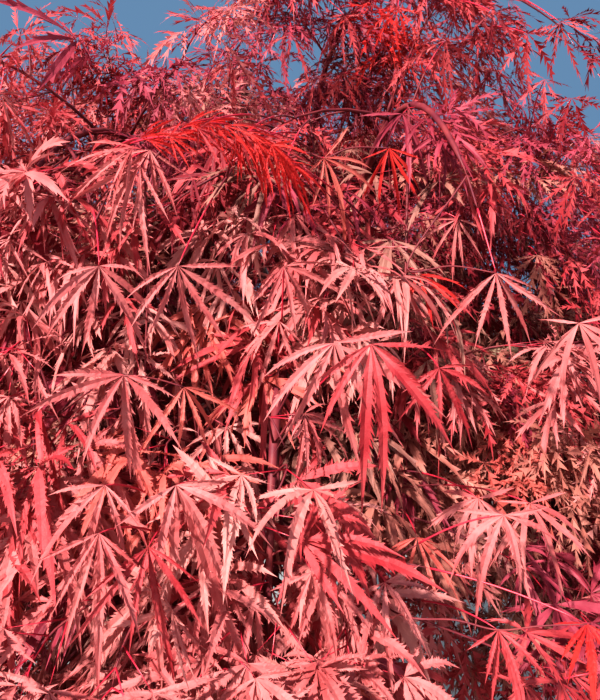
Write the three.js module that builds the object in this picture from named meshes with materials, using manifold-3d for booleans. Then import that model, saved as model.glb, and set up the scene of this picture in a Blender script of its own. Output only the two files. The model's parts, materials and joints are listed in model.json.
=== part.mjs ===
import * as THREE from "three";
import { mergeVertices } from "three/addons/utils/BufferGeometryUtils.js";
import Module from "manifold-3d";

// A laceleaf Japanese maple in a plain nursery pot, in millimetres, with +Z up.
// The origin is the centre of the pot's flat underside, and -Y is the side that is looked at.
// The tree stands in a group of its own, so its heights are counted from the soil under its foot.

const GAP = 0.3; // left between pieces that touch
const SEAT_GAP = 0.4; // by which a limb is grown where a bough is cut back from it
const SOIL_LEVEL = 335; // top of the soil above the underside of the pot

const POT = {
  height: 370,
  footRadius: 188,
  mouthRadius: 232,
  wall: 5,
  floor: 8,
  rimOut: 11,
  rimDepth: 30,
  round: 5, // the small rounds of its foot and rim
  sides: 32,
};

const SOIL = { edgeDrop: 10, edgeWidth: 60 }; // the soil slopes off towards the wall

const TRUNK = {
  bends: [
    [0, 0, 0],
    [16, -10, 130],
    [34, 6, 280],
    [14, 26, 430],
    [-8, 12, 560],
  ],
  footRadius: 35,
  forkRadius: 22,
  flareHeight: 95, // the root flare dies out at this height
  flareOut: 0.85, // how far its ribs stand out, as a share of the radius
  flareRibs: 5,
  sides: 15,
  rings: 14,
};

// The crown is a dome, wider than high, whose skirt hangs below its middle.
const CROWN = { middle: 575, radius: 740, rise: 710, drop: 450 };

// Each tier is a ring of boughs, and each bough carries one mass of foliage. A bough leaves
// its carrier at a share of the carrier's length, which climbs from sector to sector, and at
// an angle to it in degrees. The tilt is counted from straight up, and entry, bend and reach
// are shares of the dome's radius: where the bough ends in its mass, where the stem of the
// mass is highest, and where it ends.
const TIERS = [
  {
    name: "outer",
    sectors: [0, 1, 2, 3, 4, 5],
    carrier: "trunk",
    leavesAt: 0.6,
    leaves: 64,
    climb: 0.055,
    firstAzimuth: -97,
    turn: 60,
    tilt: 80,
    fall: 23,
    entry: 0.6,
    bend: 0.92,
    reach: 0.93,
    spread: 265,
    thick: 15,
    thin: 7,
  },
  {
    name: "shoulder",
    sectors: [0, 1, 2, 3, 4, 5],
    carrier: "outer",
    leavesAt: 0.36,
    leaves: 48,
    climb: 0,
    firstAzimuth: -68,
    turn: 60,
    tilt: 50,
    fall: 20,
    entry: 0.58,
    bend: 0.93,
    reach: 0.93,
    spread: 250,
    thick: 10,
    thin: 6,
  },
  {
    name: "skirt",
    sectors: [0, 2, 3, 5],
    carrier: "outer",
    leavesAt: 0.58,
    leaves: 40,
    climb: 0,
    firstAzimuth: -114,
    turn: 60,
    tilt: 104,
    fall: 21,
    entry: 0.62,
    bend: 0.86,
    reach: 0.9,
    spread: 225,
    thick: 9,
    thin: 6,
  },
  {
    name: "top",
    sectors: [0, 1, 2],
    carrier: "trunk",
    leavesAt: 0.955,
    leaves: 36,
    climb: 0.02,
    firstAzimuth: -80,
    turn: 120,
    tilt: 17,
    fall: 20,
    entry: 0.66,
    bend: 0.98,
    reach: 0.95,
    spread: 250,
    thick: 13,
    thin: 6,
  },
  {
    name: "inner",
    sectors: [0, 1, 2],
    carrier: "top",
    leavesAt: 0.42,
    leaves: 58,
    climb: 0,
    firstAzimuth: -27,
    turn: 120,
    tilt: 52,
    fall: 20,
    entry: 0.26,
    bend: 0.46,
    reach: 0.52,
    spread: 180,
    thick: 8,
    thin: 5,
  },
];

// How far the seeded rule may move a bough from its even place, in degrees and as a share.
const SCATTER = { azimuth: 14, tilt: 8, swing: 16, reach: 0.07, leastReach: 0.96 };
const SEED = { tier: 7919, sector: 104729 }; // the seed of a mass is worked out from these

const BOUGH = {
  sides: 5,
  rings: 6,
  seatShare: 0.72, // thickest that a bough starts, as a share of its carrier there
  leavingPull: 0.36, // how far its curve keeps its first direction, as a share of its length
  arrivingPull: 0.32, // and the direction of the stem that it meets
};
const STEM = { tiltBack: 8, bendBack: 4, middle: 0.55 };
const TWIG = {
  sides: 3,
  stemRings: 5,
  rings: 2,
  pairs: 3, // pairs of twigs along a stem
  firstPair: 0.45, // where the first pair is, as a share of the way to the second
  angle: 52, // from the stem, in degrees
  angleScatter: 24,
  least: 0.8, // a twig's length is this share of the spread of its tier,
  more: 0.35, // or up to this much more,
  shrink: 0.4, // and shorter by this share at the tip of the stem
  bend: 0.55, // where a twig starts to hang, as a share of its length
  sag: 0.3, // how far a twig's end hangs, as a share of its length
  stemTip: 3.2,
  thick: 4.2,
  thin: 2.6,
  shorter: [1, 0.8, 0.62, 0.45], // the lengths that a twig is tried at, as shares
};

const LEAF = {
  lobe: 138, // length of the middle lobe, larger than life: each leaf stands for a spray
  stalk: 50,
  halfThick: 1.6,
  droop: 0.34, // how far the tips of the lobes hang, as a share of the lobe
  sink: 3.5, // how far the stalk runs on past the middle of its twig
  sizes: [1.1, 1, 0.95, 0.85], // the sizes that a leaf is tried at in turn
  seats: [0.52, 0.94], // where leaves sit along a twig
  stemSeat: 0.97,
  away: 0.55, // the shares of a leaf's direction: away from the trunk,
  along: 0.7, // along its twig,
  scatter: 0.7, // to any side,
  hang: 0.25, // and down, by this much
  hangScatter: 0.6, // or up to this much more
  roll: 0.9, // how far it turns about its stalk, in radians
};

const FOLIAGE_MARGIN = 2.5; // a mass stays this far inside its own space
const LIMB_MARGIN = 2; // and its leaves this far from every limb

const COLOURS = {
  pot: 0x1d1e20,
  soil: 0x3a2a1f,
  bark: 0x7d6a58,
  bough: 0x6d4a42,
  foliage: 0xa8323c,
};

const UP = new THREE.Vector3(0, 0, 1);

const wasm = await Module();
wasm.setup();

// Random numbers from 0 to 1 that are the same on every run.
function seededRandom(seed) {
  let state = seed;
  return () => {
    state = (Math.imul(1664525, state) + 1013904223) >>> 0;
    return state / 2 ** 32;
  };
}

function solidFrom(geometry) {
  const bare = geometry.clone();
  bare.deleteAttribute("normal");
  bare.deleteAttribute("uv");
  const merged = mergeVertices(bare, 1e-4);
  return new wasm.Manifold(
    new wasm.Mesh({
      numProp: 3,
      vertProperties: merged.attributes.position.array,
      triVerts: new Uint32Array(merged.index.array),
    }),
  );
}

function geometryFrom(solid) {
  const { vertProperties, triVerts } = solid.getMesh();
  const geometry = new THREE.BufferGeometry();
  geometry.setAttribute("position", new THREE.BufferAttribute(vertProperties, 3));
  geometry.setIndex(new THREE.BufferAttribute(triVerts, 1));
  geometry.computeVertexNormals();
  return geometry;
}

function namedMesh(name, geometry, colour, roughness) {
  const material = new THREE.MeshStandardMaterial({
    color: colour,
    roughness,
    metalness: 0,
    flatShading: true,
  });
  const mesh = new THREE.Mesh(geometry, material);
  mesh.name = name;
  return mesh;
}

// A limb is a cylinder bent along a curve. radiusAt(share, angle) gives its radius, where
// share runs from 0 at the foot to 1 at the tip.
function limbGeometry(curve, radiusAt, sides, rings) {
  const geometry = new THREE.CylinderGeometry(1, 1, 1, sides, rings);
  const frames = curve.computeFrenetFrames(rings);
  const position = geometry.attributes.position;
  const vertex = new THREE.Vector3();
  for (let i = 0; i < position.count; i++) {
    vertex.fromBufferAttribute(position, i);
    const share = vertex.y + 0.5;
    const ring = Math.round(share * rings);
    const angle = Math.atan2(vertex.z, vertex.x);
    const radius = Math.hypot(vertex.x, vertex.z) * radiusAt(share, angle);
    const bent = curve
      .getPointAt(share)
      .addScaledVector(frames.normals[ring], radius * Math.cos(angle))
      .addScaledVector(frames.binormals[ring], -radius * Math.sin(angle));
    position.setXYZ(i, bent.x, bent.y, bent.z);
  }
  return geometry;
}

function taper(thick, thin) {
  return (share) => thick + (thin - thick) * share;
}

// The radius of the pot's outside at a height.
function potRadius(z) {
  return POT.footRadius + ((POT.mouthRadius - POT.footRadius) * z) / POT.height;
}

function turned(profile) {
  const points = profile.map(([radius, z]) => new THREE.Vector2(radius, z));
  return new THREE.LatheGeometry(points, POT.sides).rotateX(Math.PI / 2);
}

// The pot is a tapered shell with a rolled rim. Its profile goes up the outside and down the
// inside, and starts and ends on the axis.
function potGeometry() {
  const { height, footRadius, wall, floor, rimOut, rimDepth, round } = POT;
  const rimFoot = height - rimDepth;
  return turned([
    [0, 0],
    [footRadius - round, 0],
    [potRadius(round), round],
    [potRadius(rimFoot), rimFoot],
    [potRadius(rimFoot) + rimOut, rimFoot + round],
    [potRadius(height) + rimOut, height - round],
    [potRadius(height) + rimOut - round, height],
    [potRadius(height) - wall, height],
    [potRadius(floor) - wall, floor],
    [0, floor],
  ]);
}

// The soil fills the pot to a level top, which slopes off a little at the wall.
function soilGeometry() {
  const inside = (z) => potRadius(z) - POT.wall - GAP;
  const edge = SOIL_LEVEL - SOIL.edgeDrop;
  const bottom = POT.floor + GAP;
  return turned([
    [0, bottom],
    [inside(bottom), bottom],
    [inside(edge), edge],
    [inside(edge) - SOIL.edgeWidth, SOIL_LEVEL],
    [0, SOIL_LEVEL],
  ]);
}

const trunkCurve = new THREE.CatmullRomCurve3(
  TRUNK.bends.map(([x, y, z]) => new THREE.Vector3(x, y, z)),
);

// The trunk tapers quickly above its root flare and slowly from there to the fork.
function trunkRadius(share, angle) {
  const { footRadius, forkRadius, flareHeight, flareOut, flareRibs } = TRUNK;
  const height = share * trunkCurve.getLength();
  const flare = Math.max(0, 1 - height / flareHeight) ** 2;
  const rib = 0.55 + 0.45 * Math.cos(flareRibs * angle + 0.6 * Math.sin(angle)); // 0.1 to 1
  return (footRadius + (forkRadius - footRadius) * share) * (1 + flareOut * flare * rib);
}

function trunkGeometry(extra) {
  return limbGeometry(
    trunkCurve,
    (share, angle) => trunkRadius(share, angle) + extra,
    TRUNK.sides,
    TRUNK.rings,
  );
}

// The trunk's foot is cut flat at the soil.
function trunkSolid(extra) {
  const cutter = new THREE.BoxGeometry(400, 400, 200).translate(0, 0, -100);
  return solidFrom(trunkGeometry(extra)).subtract(solidFrom(cutter));
}

// A point on the crown's dome, taken in to a share of its size.
function onDome(share, tilt, azimuth) {
  const { middle, radius, rise, drop } = CROWN;
  const tiltAngle = THREE.MathUtils.degToRad(tilt);
  const turnAngle = THREE.MathUtils.degToRad(azimuth);
  const out = share * radius * Math.sin(tiltAngle);
  const high = share * Math.cos(tiltAngle) * (tilt < 90 ? rise : drop);
  return new THREE.Vector3(
    out * Math.cos(turnAngle),
    out * Math.sin(turnAngle),
    middle + high,
  );
}

// The direction at a given angle to a carrier that turns furthest towards a target.
function leavingDirection(along, towards, degrees) {
  const angle = THREE.MathUtils.degToRad(degrees);
  const across = towards.clone().addScaledVector(along, -towards.dot(along)).normalize();
  return along.clone().multiplyScalar(Math.cos(angle)).addScaledVector(across, Math.sin(angle));
}

// The stem of a mass arches over the dome and falls at its end. Seeded changes of tilt,
// azimuth and reach keep the tiers from looking turned on a wheel.
function stemOf(tier, sector, random) {
  random(); // the first number is nearly the same for near seeds, so it isn't used
  const evenAzimuth = tier.firstAzimuth + tier.turn * sector;
  const azimuth = evenAzimuth + SCATTER.azimuth * (random() - 0.5);
  const tilt = tier.tilt + SCATTER.tilt * (random() - 0.5);
  const reach = tier.reach * (SCATTER.leastReach + SCATTER.reach * random());
  const swing = SCATTER.swing * (random() - 0.5);
  return new THREE.QuadraticBezierCurve3(
    onDome(tier.entry, tilt - STEM.tiltBack, azimuth),
    onDome(tier.bend, tilt - STEM.bendBack, azimuth + 0.5 * swing),
    onDome(reach, tilt + tier.fall, azimuth + swing),
  );
}

// One line for each mass: its stem, and the bough that brings it up from its carrier.
function layOutCrown() {
  const limbs = new Map();
  limbs.set("trunk", {
    name: "trunk",
    curve: trunkCurve,
    thick: TRUNK.footRadius,
    thin: TRUNK.forkRadius,
  });
  const masses = [];
  TIERS.forEach((tier, tierNumber) => {
    for (const sector of tier.sectors) {
      const seed = SEED.tier * (tierNumber + 1) + SEED.sector * (sector + 1);
      const random = seededRandom(seed);
      const stem = stemOf(tier, sector, random);
      const carrierName =
        tier.carrier === "trunk"
          ? "trunk"
          : `bough_${tier.carrier}_${sector + 1}`;
      const carrier = limbs.get(carrierName);
      const seat = tier.leavesAt + tier.climb * sector;
      const start = carrier.curve.getPointAt(seat);
      const along = carrier.curve.getTangentAt(seat);
      const end = stem.getPointAt(0);
      const length = start.distanceTo(end);
      const leaving = leavingDirection(along, end.clone().sub(start), tier.leaves);
      const curve = new THREE.CubicBezierCurve3(
        start,
        start.clone().addScaledVector(leaving, BOUGH.leavingPull * length),
        end.clone().addScaledVector(stem.getTangentAt(0), -BOUGH.arrivingPull * length),
        end,
      );
      const boughName = `bough_${tier.name}_${sector + 1}`;
      const seatRadius = taper(carrier.thick, carrier.thin)(seat);
      limbs.set(boughName, {
        name: boughName,
        carrier: carrierName,
        curve,
        thick: Math.min(tier.thick, BOUGH.seatShare * seatRadius),
        thin: tier.thin,
      });
      masses.push({
        name: `foliage_${tier.name}_${sector + 1}`,
        stem,
        tier,
        random,
        centre: stem.getPointAt(STEM.middle),
      });
    }
  });
  return { limbs, masses };
}

// A leaf is a flat double cone whose rim is drawn out into five lobes and a stalk. The poles
// of the sphere are the leaf's upper and lower face.
const LEAF_RIM = [
  [0, 1],
  [20, 0.2],
  [40, 0.86],
  [63, 0.18],
  [84, 0.62],
  [128, 0.075],
  [180, 0],
  [232, 0.075],
  [276, 0.62],
  [297, 0.18],
  [320, 0.86],
  [340, 0.2],
];
const STALK_END = 6; // the rim point at the end of the stalk

function leafGeometry(root, forward, normal, size) {
  const side = normal.clone().cross(forward);
  const palm = root.clone().addScaledVector(forward, LEAF.stalk * size);
  const rim = LEAF_RIM.map(([degrees, share], number) => {
    if (number === STALK_END) return root.clone().addScaledVector(forward, -LEAF.sink);
    const angle = THREE.MathUtils.degToRad(degrees);
    const length = LEAF.lobe * size * share;
    return palm
      .clone()
      .addScaledVector(forward, length * Math.cos(angle))
      .addScaledVector(side, length * Math.sin(angle))
      .addScaledVector(UP, -LEAF.droop * length * share);
  });
  const geometry = new THREE.SphereGeometry(1, LEAF_RIM.length, 2);
  const position = geometry.attributes.position;
  for (let i = 0; i < position.count; i++) {
    const high = position.getY(i);
    const point =
      Math.abs(high) > 0.5
        ? palm.clone().addScaledVector(normal, Math.sign(high) * LEAF.halfThick)
        : rim[(i % (LEAF_RIM.length + 1)) % LEAF_RIM.length];
    position.setXYZ(i, point.x, point.y, point.z);
  }
  return geometry;
}

// A leaf points outwards from the trunk and along its twig, and hangs.
function leafPose(root, along, random) {
  const away = new THREE.Vector3(root.x, root.y, 0).normalize();
  const forward = away
    .multiplyScalar(LEAF.away)
    .addScaledVector(along, LEAF.along)
    .add(
      new THREE.Vector3(
        LEAF.scatter * (random() - 0.5),
        LEAF.scatter * (random() - 0.5),
        -LEAF.hang - LEAF.hangScatter * random(),
      ),
    )
    .normalize();
  const normal = UP.clone().addScaledVector(forward, -UP.dot(forward)).normalize();
  normal.applyAxisAngle(forward, LEAF.roll * (random() - 0.5));
  return { forward, normal };
}

// The rule by which a stem branches: pairs of twigs on opposite sides, shorter towards its
// tip, each of which starts at an angle and hangs at its end.
function twigsOf(stem, spread, random) {
  const twigs = [];
  for (let pair = 0; pair < TWIG.pairs; pair++) {
    const share = (pair + TWIG.firstPair) / TWIG.pairs;
    const along = stem.getTangentAt(share);
    const across = along.clone().cross(UP).normalize();
    for (const hand of [-1, 1]) {
      const degrees = TWIG.angle + TWIG.angleScatter * (random() - 0.5);
      const angle = THREE.MathUtils.degToRad(degrees);
      twigs.push({
        start: stem.getPointAt(share),
        aim: along
          .clone()
          .multiplyScalar(Math.cos(angle))
          .addScaledVector(across, hand * Math.sin(angle)),
        length: spread * (1 - TWIG.shrink * share) * (TWIG.least + TWIG.more * random()),
      });
    }
  }
  return twigs;
}

function twigCurve({ start, aim }, length) {
  const middle = start.clone().addScaledVector(aim, TWIG.bend * length);
  const end = start
    .clone()
    .addScaledVector(aim, length)
    .addScaledVector(UP, -TWIG.sag * length);
  return new THREE.QuadraticBezierCurve3(start, middle, end);
}

// How far a point lies inside the space of a mass: the least distance to the planes halfway
// to the middles of the other masses.
function depthInSpace(point, mass, masses) {
  let depth = Infinity;
  for (const other of masses) {
    if (other === mass) continue;
    const apart = mass.centre.distanceTo(other.centre);
    const gain =
      point.distanceToSquared(other.centre) - point.distanceToSquared(mass.centre);
    depth = Math.min(depth, gain / (2 * apart));
  }
  return depth;
}

// A space is convex, so a piece is in it if all its corners are.
function staysInSpace(geometry, mass, masses) {
  const position = geometry.attributes.position;
  const point = new THREE.Vector3();
  for (let i = 0; i < position.count; i++) {
    point.fromBufferAttribute(position, i);
    if (depthInSpace(point, mass, masses) < FOLIAGE_MARGIN) return false;
  }
  return true;
}

function isClear(solid, others) {
  return solid.intersect(others).isEmpty();
}

// One mass: its stem and twigs, and leaves that neither leave its space nor touch a limb or
// each other. A leaf that would is tried again at other angles and then left out.
function foliageSolid(mass, masses, limbsGrown) {
  const { stem, tier, random } = mass;
  const gapStem = shifted(stem, GAP);
  let solid = solidFrom(
    limbGeometry(gapStem, taper(tier.thin, TWIG.stemTip), TWIG.sides, TWIG.stemRings),
  );
  const seats = [{ curve: stem, share: LEAF.stemSeat }];
  for (const twig of twigsOf(stem, tier.spread, random)) {
    for (const shorter of TWIG.shorter) {
      const curve = twigCurve(twig, shorter * twig.length);
      const geometry = limbGeometry(
        curve,
        taper(TWIG.thick, TWIG.thin),
        TWIG.sides,
        TWIG.rings,
      );
      if (!staysInSpace(geometry, mass, masses)) continue;
      const grown = solidFrom(geometry);
      if (!isClear(grown, limbsGrown)) continue;
      solid = solid.add(grown);
      for (const share of LEAF.seats) seats.push({ curve, share });
      break;
    }
  }
  let leaves = null;
  for (const { curve, share } of seats) {
    const root = curve.getPointAt(share);
    const along = curve.getTangentAt(share);
    for (const size of LEAF.sizes) {
      const { forward, normal } = leafPose(root, along, random);
      const geometry = leafGeometry(root, forward, normal, size);
      if (!staysInSpace(geometry, mass, masses)) continue;
      const leaf = solidFrom(geometry);
      if (!isClear(leaf, limbsGrown)) continue;
      if (leaves && !isClear(leaf, leaves)) continue;
      leaves = leaves ? leaves.add(leaf) : leaf;
      break;
    }
  }
  return leaves ? solid.add(leaves) : solid;
}

// The same curve, starting a little further on.
function shifted(curve, distance) {
  const start = curve.getPointAt(distance / curve.getLength());
  return new THREE.QuadraticBezierCurve3(start, curve.v1, curve.v2);
}

function boughGeometry({ curve, thick, thin }, extra) {
  const radius = taper(thick, thin);
  return limbGeometry(curve, (share) => radius(share) + extra, BOUGH.sides, BOUGH.rings);
}

const { limbs, masses } = layOutCrown();

// Each bough starts inside its carrier. It is cut back to a gap from the bark of its carrier
// and of the boughs before it that leave the same carrier.
const boughs = [...limbs.values()].filter((limb) => limb.name !== "trunk");
const boughSolids = new Map();
for (const bough of boughs) {
  const before = boughs.slice(0, boughs.indexOf(bough));
  let cutter =
    bough.carrier === "trunk"
      ? trunkSolid(SEAT_GAP)
      : solidFrom(boughGeometry(limbs.get(bough.carrier), SEAT_GAP));
  for (const other of before.filter(({ carrier }) => carrier === bough.carrier))
    cutter = cutter.add(solidFrom(boughGeometry(other, SEAT_GAP)));
  boughSolids.set(bough.name, solidFrom(boughGeometry(bough, 0)).subtract(cutter));
}

let limbsGrown = trunkSolid(LIMB_MARGIN);
for (const bough of boughs)
  limbsGrown = limbsGrown.add(solidFrom(boughGeometry(bough, LIMB_MARGIN)));

const plant = new THREE.Group();
plant.position.z = SOIL_LEVEL + GAP;
plant.add(namedMesh("trunk", geometryFrom(trunkSolid(0)), COLOURS.bark, 0.85));
for (const [name, solid] of boughSolids)
  plant.add(namedMesh(name, geometryFrom(solid), COLOURS.bough, 0.8));
for (const mass of masses) {
  const solid = foliageSolid(mass, masses, limbsGrown);
  plant.add(namedMesh(mass.name, geometryFrom(solid), COLOURS.foliage, 0.6));
}

const pottedMaple = new THREE.Group();
pottedMaple.add(namedMesh("pot", potGeometry(), COLOURS.pot, 0.5));
pottedMaple.add(namedMesh("soil", soilGeometry(), COLOURS.soil, 0.95));
pottedMaple.add(plant);

export default pottedMaple;
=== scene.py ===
# %% [markdown]
# # A laceleaf maple in a nursery pot
# The picture looks from close by into the crown of a weeping maple with red, finely cut
# leaves. The construction model is the fixed frame: it says where the pot, the trunk, the
# boughs and the masses of foliage are. This script grows the looks around it.

# %% Load the frame
import json
import math

import bpy
import numpy as np
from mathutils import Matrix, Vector

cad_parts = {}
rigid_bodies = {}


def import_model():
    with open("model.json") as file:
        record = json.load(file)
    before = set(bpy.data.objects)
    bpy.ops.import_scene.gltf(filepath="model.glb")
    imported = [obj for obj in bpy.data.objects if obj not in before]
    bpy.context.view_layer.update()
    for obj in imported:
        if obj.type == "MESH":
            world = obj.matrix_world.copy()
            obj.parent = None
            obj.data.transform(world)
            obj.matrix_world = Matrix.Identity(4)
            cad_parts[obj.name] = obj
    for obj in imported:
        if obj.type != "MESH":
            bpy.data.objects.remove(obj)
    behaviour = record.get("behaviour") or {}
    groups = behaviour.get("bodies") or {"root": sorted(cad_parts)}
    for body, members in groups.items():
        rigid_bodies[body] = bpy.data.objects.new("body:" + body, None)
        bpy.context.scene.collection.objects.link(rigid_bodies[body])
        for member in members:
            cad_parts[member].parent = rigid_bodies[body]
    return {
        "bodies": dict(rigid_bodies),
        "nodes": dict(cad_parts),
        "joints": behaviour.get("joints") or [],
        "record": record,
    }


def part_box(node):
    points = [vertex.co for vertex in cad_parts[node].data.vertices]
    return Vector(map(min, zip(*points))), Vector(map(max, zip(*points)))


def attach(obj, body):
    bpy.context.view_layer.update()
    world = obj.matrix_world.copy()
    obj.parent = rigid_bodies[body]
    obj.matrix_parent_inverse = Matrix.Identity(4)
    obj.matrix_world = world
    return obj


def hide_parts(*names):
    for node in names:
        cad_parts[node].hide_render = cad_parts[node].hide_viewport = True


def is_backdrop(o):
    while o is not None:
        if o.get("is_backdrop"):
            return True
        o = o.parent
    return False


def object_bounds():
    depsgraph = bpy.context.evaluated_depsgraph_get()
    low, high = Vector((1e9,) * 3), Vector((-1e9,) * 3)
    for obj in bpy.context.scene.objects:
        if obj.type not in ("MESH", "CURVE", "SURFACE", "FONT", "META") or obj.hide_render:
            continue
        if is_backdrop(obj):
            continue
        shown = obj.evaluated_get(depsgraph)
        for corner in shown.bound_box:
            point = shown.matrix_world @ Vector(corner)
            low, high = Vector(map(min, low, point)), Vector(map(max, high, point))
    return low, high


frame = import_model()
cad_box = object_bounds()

NODES = sorted(frame["nodes"])
SEAT_GAP = 0.0003  # metres between the soil and the foot of the trunk
SOIL_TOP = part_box("soil")[1].z
FOOT = np.array([0.0, 0.0, SOIL_TOP + SEAT_GAP])
UP = np.array([0.0, 0.0, 1.0])
print("frame:", len(NODES), "nodes, soil at", round(SOIL_TOP, 3))

# %% [markdown]
# ## The camera
# The picture was taken with a phone held level. Here the camera stands about forty centimetres
# in front of the nearest leaves. It comes first, because some leaves are placed by where the
# picture shows them: a pixel gives a direction from the lens, and a distance the point on it.

# %% Place the camera
PICTURE_WIDE, PICTURE_HIGH = 600, 700
CAMERA_PLACE = np.array([0.0, -1.12, 1.03])
LENS = 30.9  # millimetres, with a 36 mm long side
SENSOR = 36.0

camera_data = bpy.data.cameras.new("camera")
camera_data.lens = LENS
camera_data.sensor_width = SENSOR
camera_data.clip_start = 0.02
camera = bpy.data.objects.new("camera", camera_data)
camera.location = CAMERA_PLACE
camera.rotation_euler = (math.radians(90), 0, 0)
bpy.context.scene.collection.objects.link(camera)
bpy.context.scene.camera = camera


def pixel_point(x, y, distance):
    """The point at a distance along the ray from the lens through a pixel of the picture."""
    scale = SENSOR / LENS / PICTURE_HIGH
    ray = np.array([(x - PICTURE_WIDE / 2) * scale, 1.0, (PICTURE_HIGH / 2 - y) * scale])
    return CAMERA_PLACE + distance * ray / np.linalg.norm(ray)


def seen_at(points):
    """The pixel and the depth at which the camera sees each point: pixel_point the other way."""
    across, depth, above = (points - CAMERA_PLACE).T
    scale = LENS / SENSOR * PICTURE_HIGH / np.where(np.abs(depth) < 1e-6, 1e-6, depth)
    return PICTURE_WIDE / 2 + across * scale, PICTURE_HIGH / 2 - above * scale, depth


print("camera at", CAMERA_PLACE, "with a", LENS, "mm lens")

# %% [markdown]
# ## Curves as arrays
# A limb could be a Blender curve with a bevel, but then its bark could have no relief. Here a
# limb is a line of points, and every later step asks it for places and directions at shares
# of its length.

# %% Lines and their directions
LINE_STEPS = 200


def unit(vectors):
    """Each vector divided by its own length."""
    length = np.linalg.norm(vectors, axis=-1, keepdims=True)
    return vectors / np.maximum(length, 1e-9)


def bezier(points, t):
    """Sum of the control points, each times its Bernstein weight at t."""
    t = np.asarray(t, float)[..., None]
    degree = len(points) - 1
    return sum(
        math.comb(degree, i) * t**i * (1 - t) ** (degree - i) * np.asarray(point)
        for i, point in enumerate(points)
    )


def through(points, t):
    """A centripetal Catmull-Rom spline: cubic pieces with knots the root of the step apart."""
    points = np.asarray(points, float)
    first = 2 * points[0] - points[1]
    last = 2 * points[-1] - points[-2]
    points = np.vstack([first, points, last])
    where = np.clip(np.asarray(t, float) * (len(points) - 3), 0, len(points) - 3 - 1e-9)
    piece = where.astype(int)
    u = (where - piece)[..., None]
    p0, p1, p2, p3 = (points[piece + i] for i in range(4))
    d0, d1, d2 = (
        np.linalg.norm(b - a, axis=-1, keepdims=True) ** 0.5
        for a, b in ((p0, p1), (p1, p2), (p2, p3))
    )
    leave = ((p1 - p0) / d0 - (p2 - p0) / (d0 + d1) + (p2 - p1) / d1) * d1
    arrive = ((p2 - p1) / d1 - (p3 - p1) / (d1 + d2) + (p3 - p2) / d2) * d1
    bend = 3 * (p2 - p1) - 2 * leave - arrive
    twist = 2 * (p1 - p2) + leave + arrive
    return p1 + leave * u + bend * u**2 + twist * u**3


def line_of(curve):
    """Points at even steps of a curve's parameter, with the length run up to each."""
    points = curve(np.linspace(0, 1, LINE_STEPS + 1))
    steps = np.linalg.norm(np.diff(points, axis=0), axis=1)
    return points, np.concatenate([[0], np.cumsum(steps)])


def at(line, shares):
    """Places at shares of a line's length, and the directions there."""
    points, run = line
    length = run[-1]

    def place(where):
        return np.stack([np.interp(where, run, points[:, i]) for i in range(3)], -1)

    where = np.clip(np.asarray(shares, float), 0, 1) * length
    step = length / LINE_STEPS
    ahead = place(np.minimum(where + step, length))
    behind = place(np.maximum(where - step, 0))
    return place(where), unit(ahead - behind)


# %% Seeded numbers like the source's
def seeded(seed):
    """A linear congruential generator: state = 1664525 * state + 1013904223, modulo 2**32."""
    state = seed
    while True:
        state = (1664525 * state + 1013904223) % 2**32
        yield state / 2**32


# %% [markdown]
# ## The skeleton
# The trunk, the boughs and the stem of each mass follow the same rule as the construction
# model, from the same numbers, so that what grows here stands where the solids are. A tier is
# a ring of boughs. Its tilt is counted from straight up on a dome, and entry, bend and reach
# are shares of the dome's radius.

# %% Driving sizes of the tree
TRUNK_BENDS = np.array(
    [[0, 0, 0], [16, -10, 130], [34, 6, 280], [14, 26, 430], [-8, 12, 560]]
) / 1000
TRUNK_FOOT, TRUNK_FORK = 0.035, 0.022
FLARE_HEIGHT, FLARE_OUT, FLARE_RIBS = 0.095, 0.85, 5
CROWN_MIDDLE, CROWN_RADIUS, CROWN_RISE, CROWN_DROP = 0.575, 0.740, 0.710, 0.450

TIER_FIELDS = (
    "sectors carrier leaves_at climb leaves azimuth turn tilt fall entry bend reach "
    "spread thick thin"
).split()
TIER_ROWS = {
    "outer": (range(6), "trunk", 0.6, 0.055, 64, -97, 60, 80, 23,
              0.6, 0.92, 0.93, 0.265, 0.015, 0.007),
    "shoulder": (range(6), "outer", 0.36, 0, 48, -68, 60, 50, 20,
                 0.58, 0.93, 0.93, 0.25, 0.01, 0.006),
    "skirt": ((0, 2, 3, 5), "outer", 0.58, 0, 40, -114, 60, 104, 21,
              0.62, 0.86, 0.9, 0.225, 0.009, 0.006),
    "top": (range(3), "trunk", 0.955, 0.02, 36, -80, 120, 17, 20,
            0.66, 0.98, 0.95, 0.25, 0.013, 0.006),
    "inner": (range(3), "top", 0.42, 0, 58, -27, 120, 52, 20,
              0.26, 0.46, 0.52, 0.18, 0.008, 0.005),
}
TIERS = {name: dict(zip(TIER_FIELDS, row)) for name, row in TIER_ROWS.items()}
SEED_TIER, SEED_SECTOR = 7919, 104729
AZIMUTH_SCATTER, TILT_SCATTER, SWING = 14, 8, 16  # degrees
LEAST_REACH, REACH_SCATTER = 0.96, 0.07
ENTRY_RISE, BEND_RISE = 8, 4  # degrees by which a stem starts and bends higher than its tier
LEAVING_PULL, ARRIVING_PULL = 0.36, 0.32  # handles of a bough's curve, as shares of the way
SEAT_SHARE = 0.72  # thickest that a bough starts, as a share of its carrier there
MASS_MIDDLE = 0.55  # the share of its stem at which a mass has its middle

# %% Lay out the limbs
def on_dome(share, tilt, azimuth):
    """A point on the crown's dome, taken in to a share of its size."""
    tilt_angle, turn = math.radians(tilt), math.radians(azimuth)
    out = share * CROWN_RADIUS * math.sin(tilt_angle)
    rise = CROWN_RISE if tilt < 90 else CROWN_DROP
    high = CROWN_MIDDLE + share * rise * math.cos(tilt_angle)
    return FOOT + np.array([out * math.cos(turn), out * math.sin(turn), high])


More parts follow.
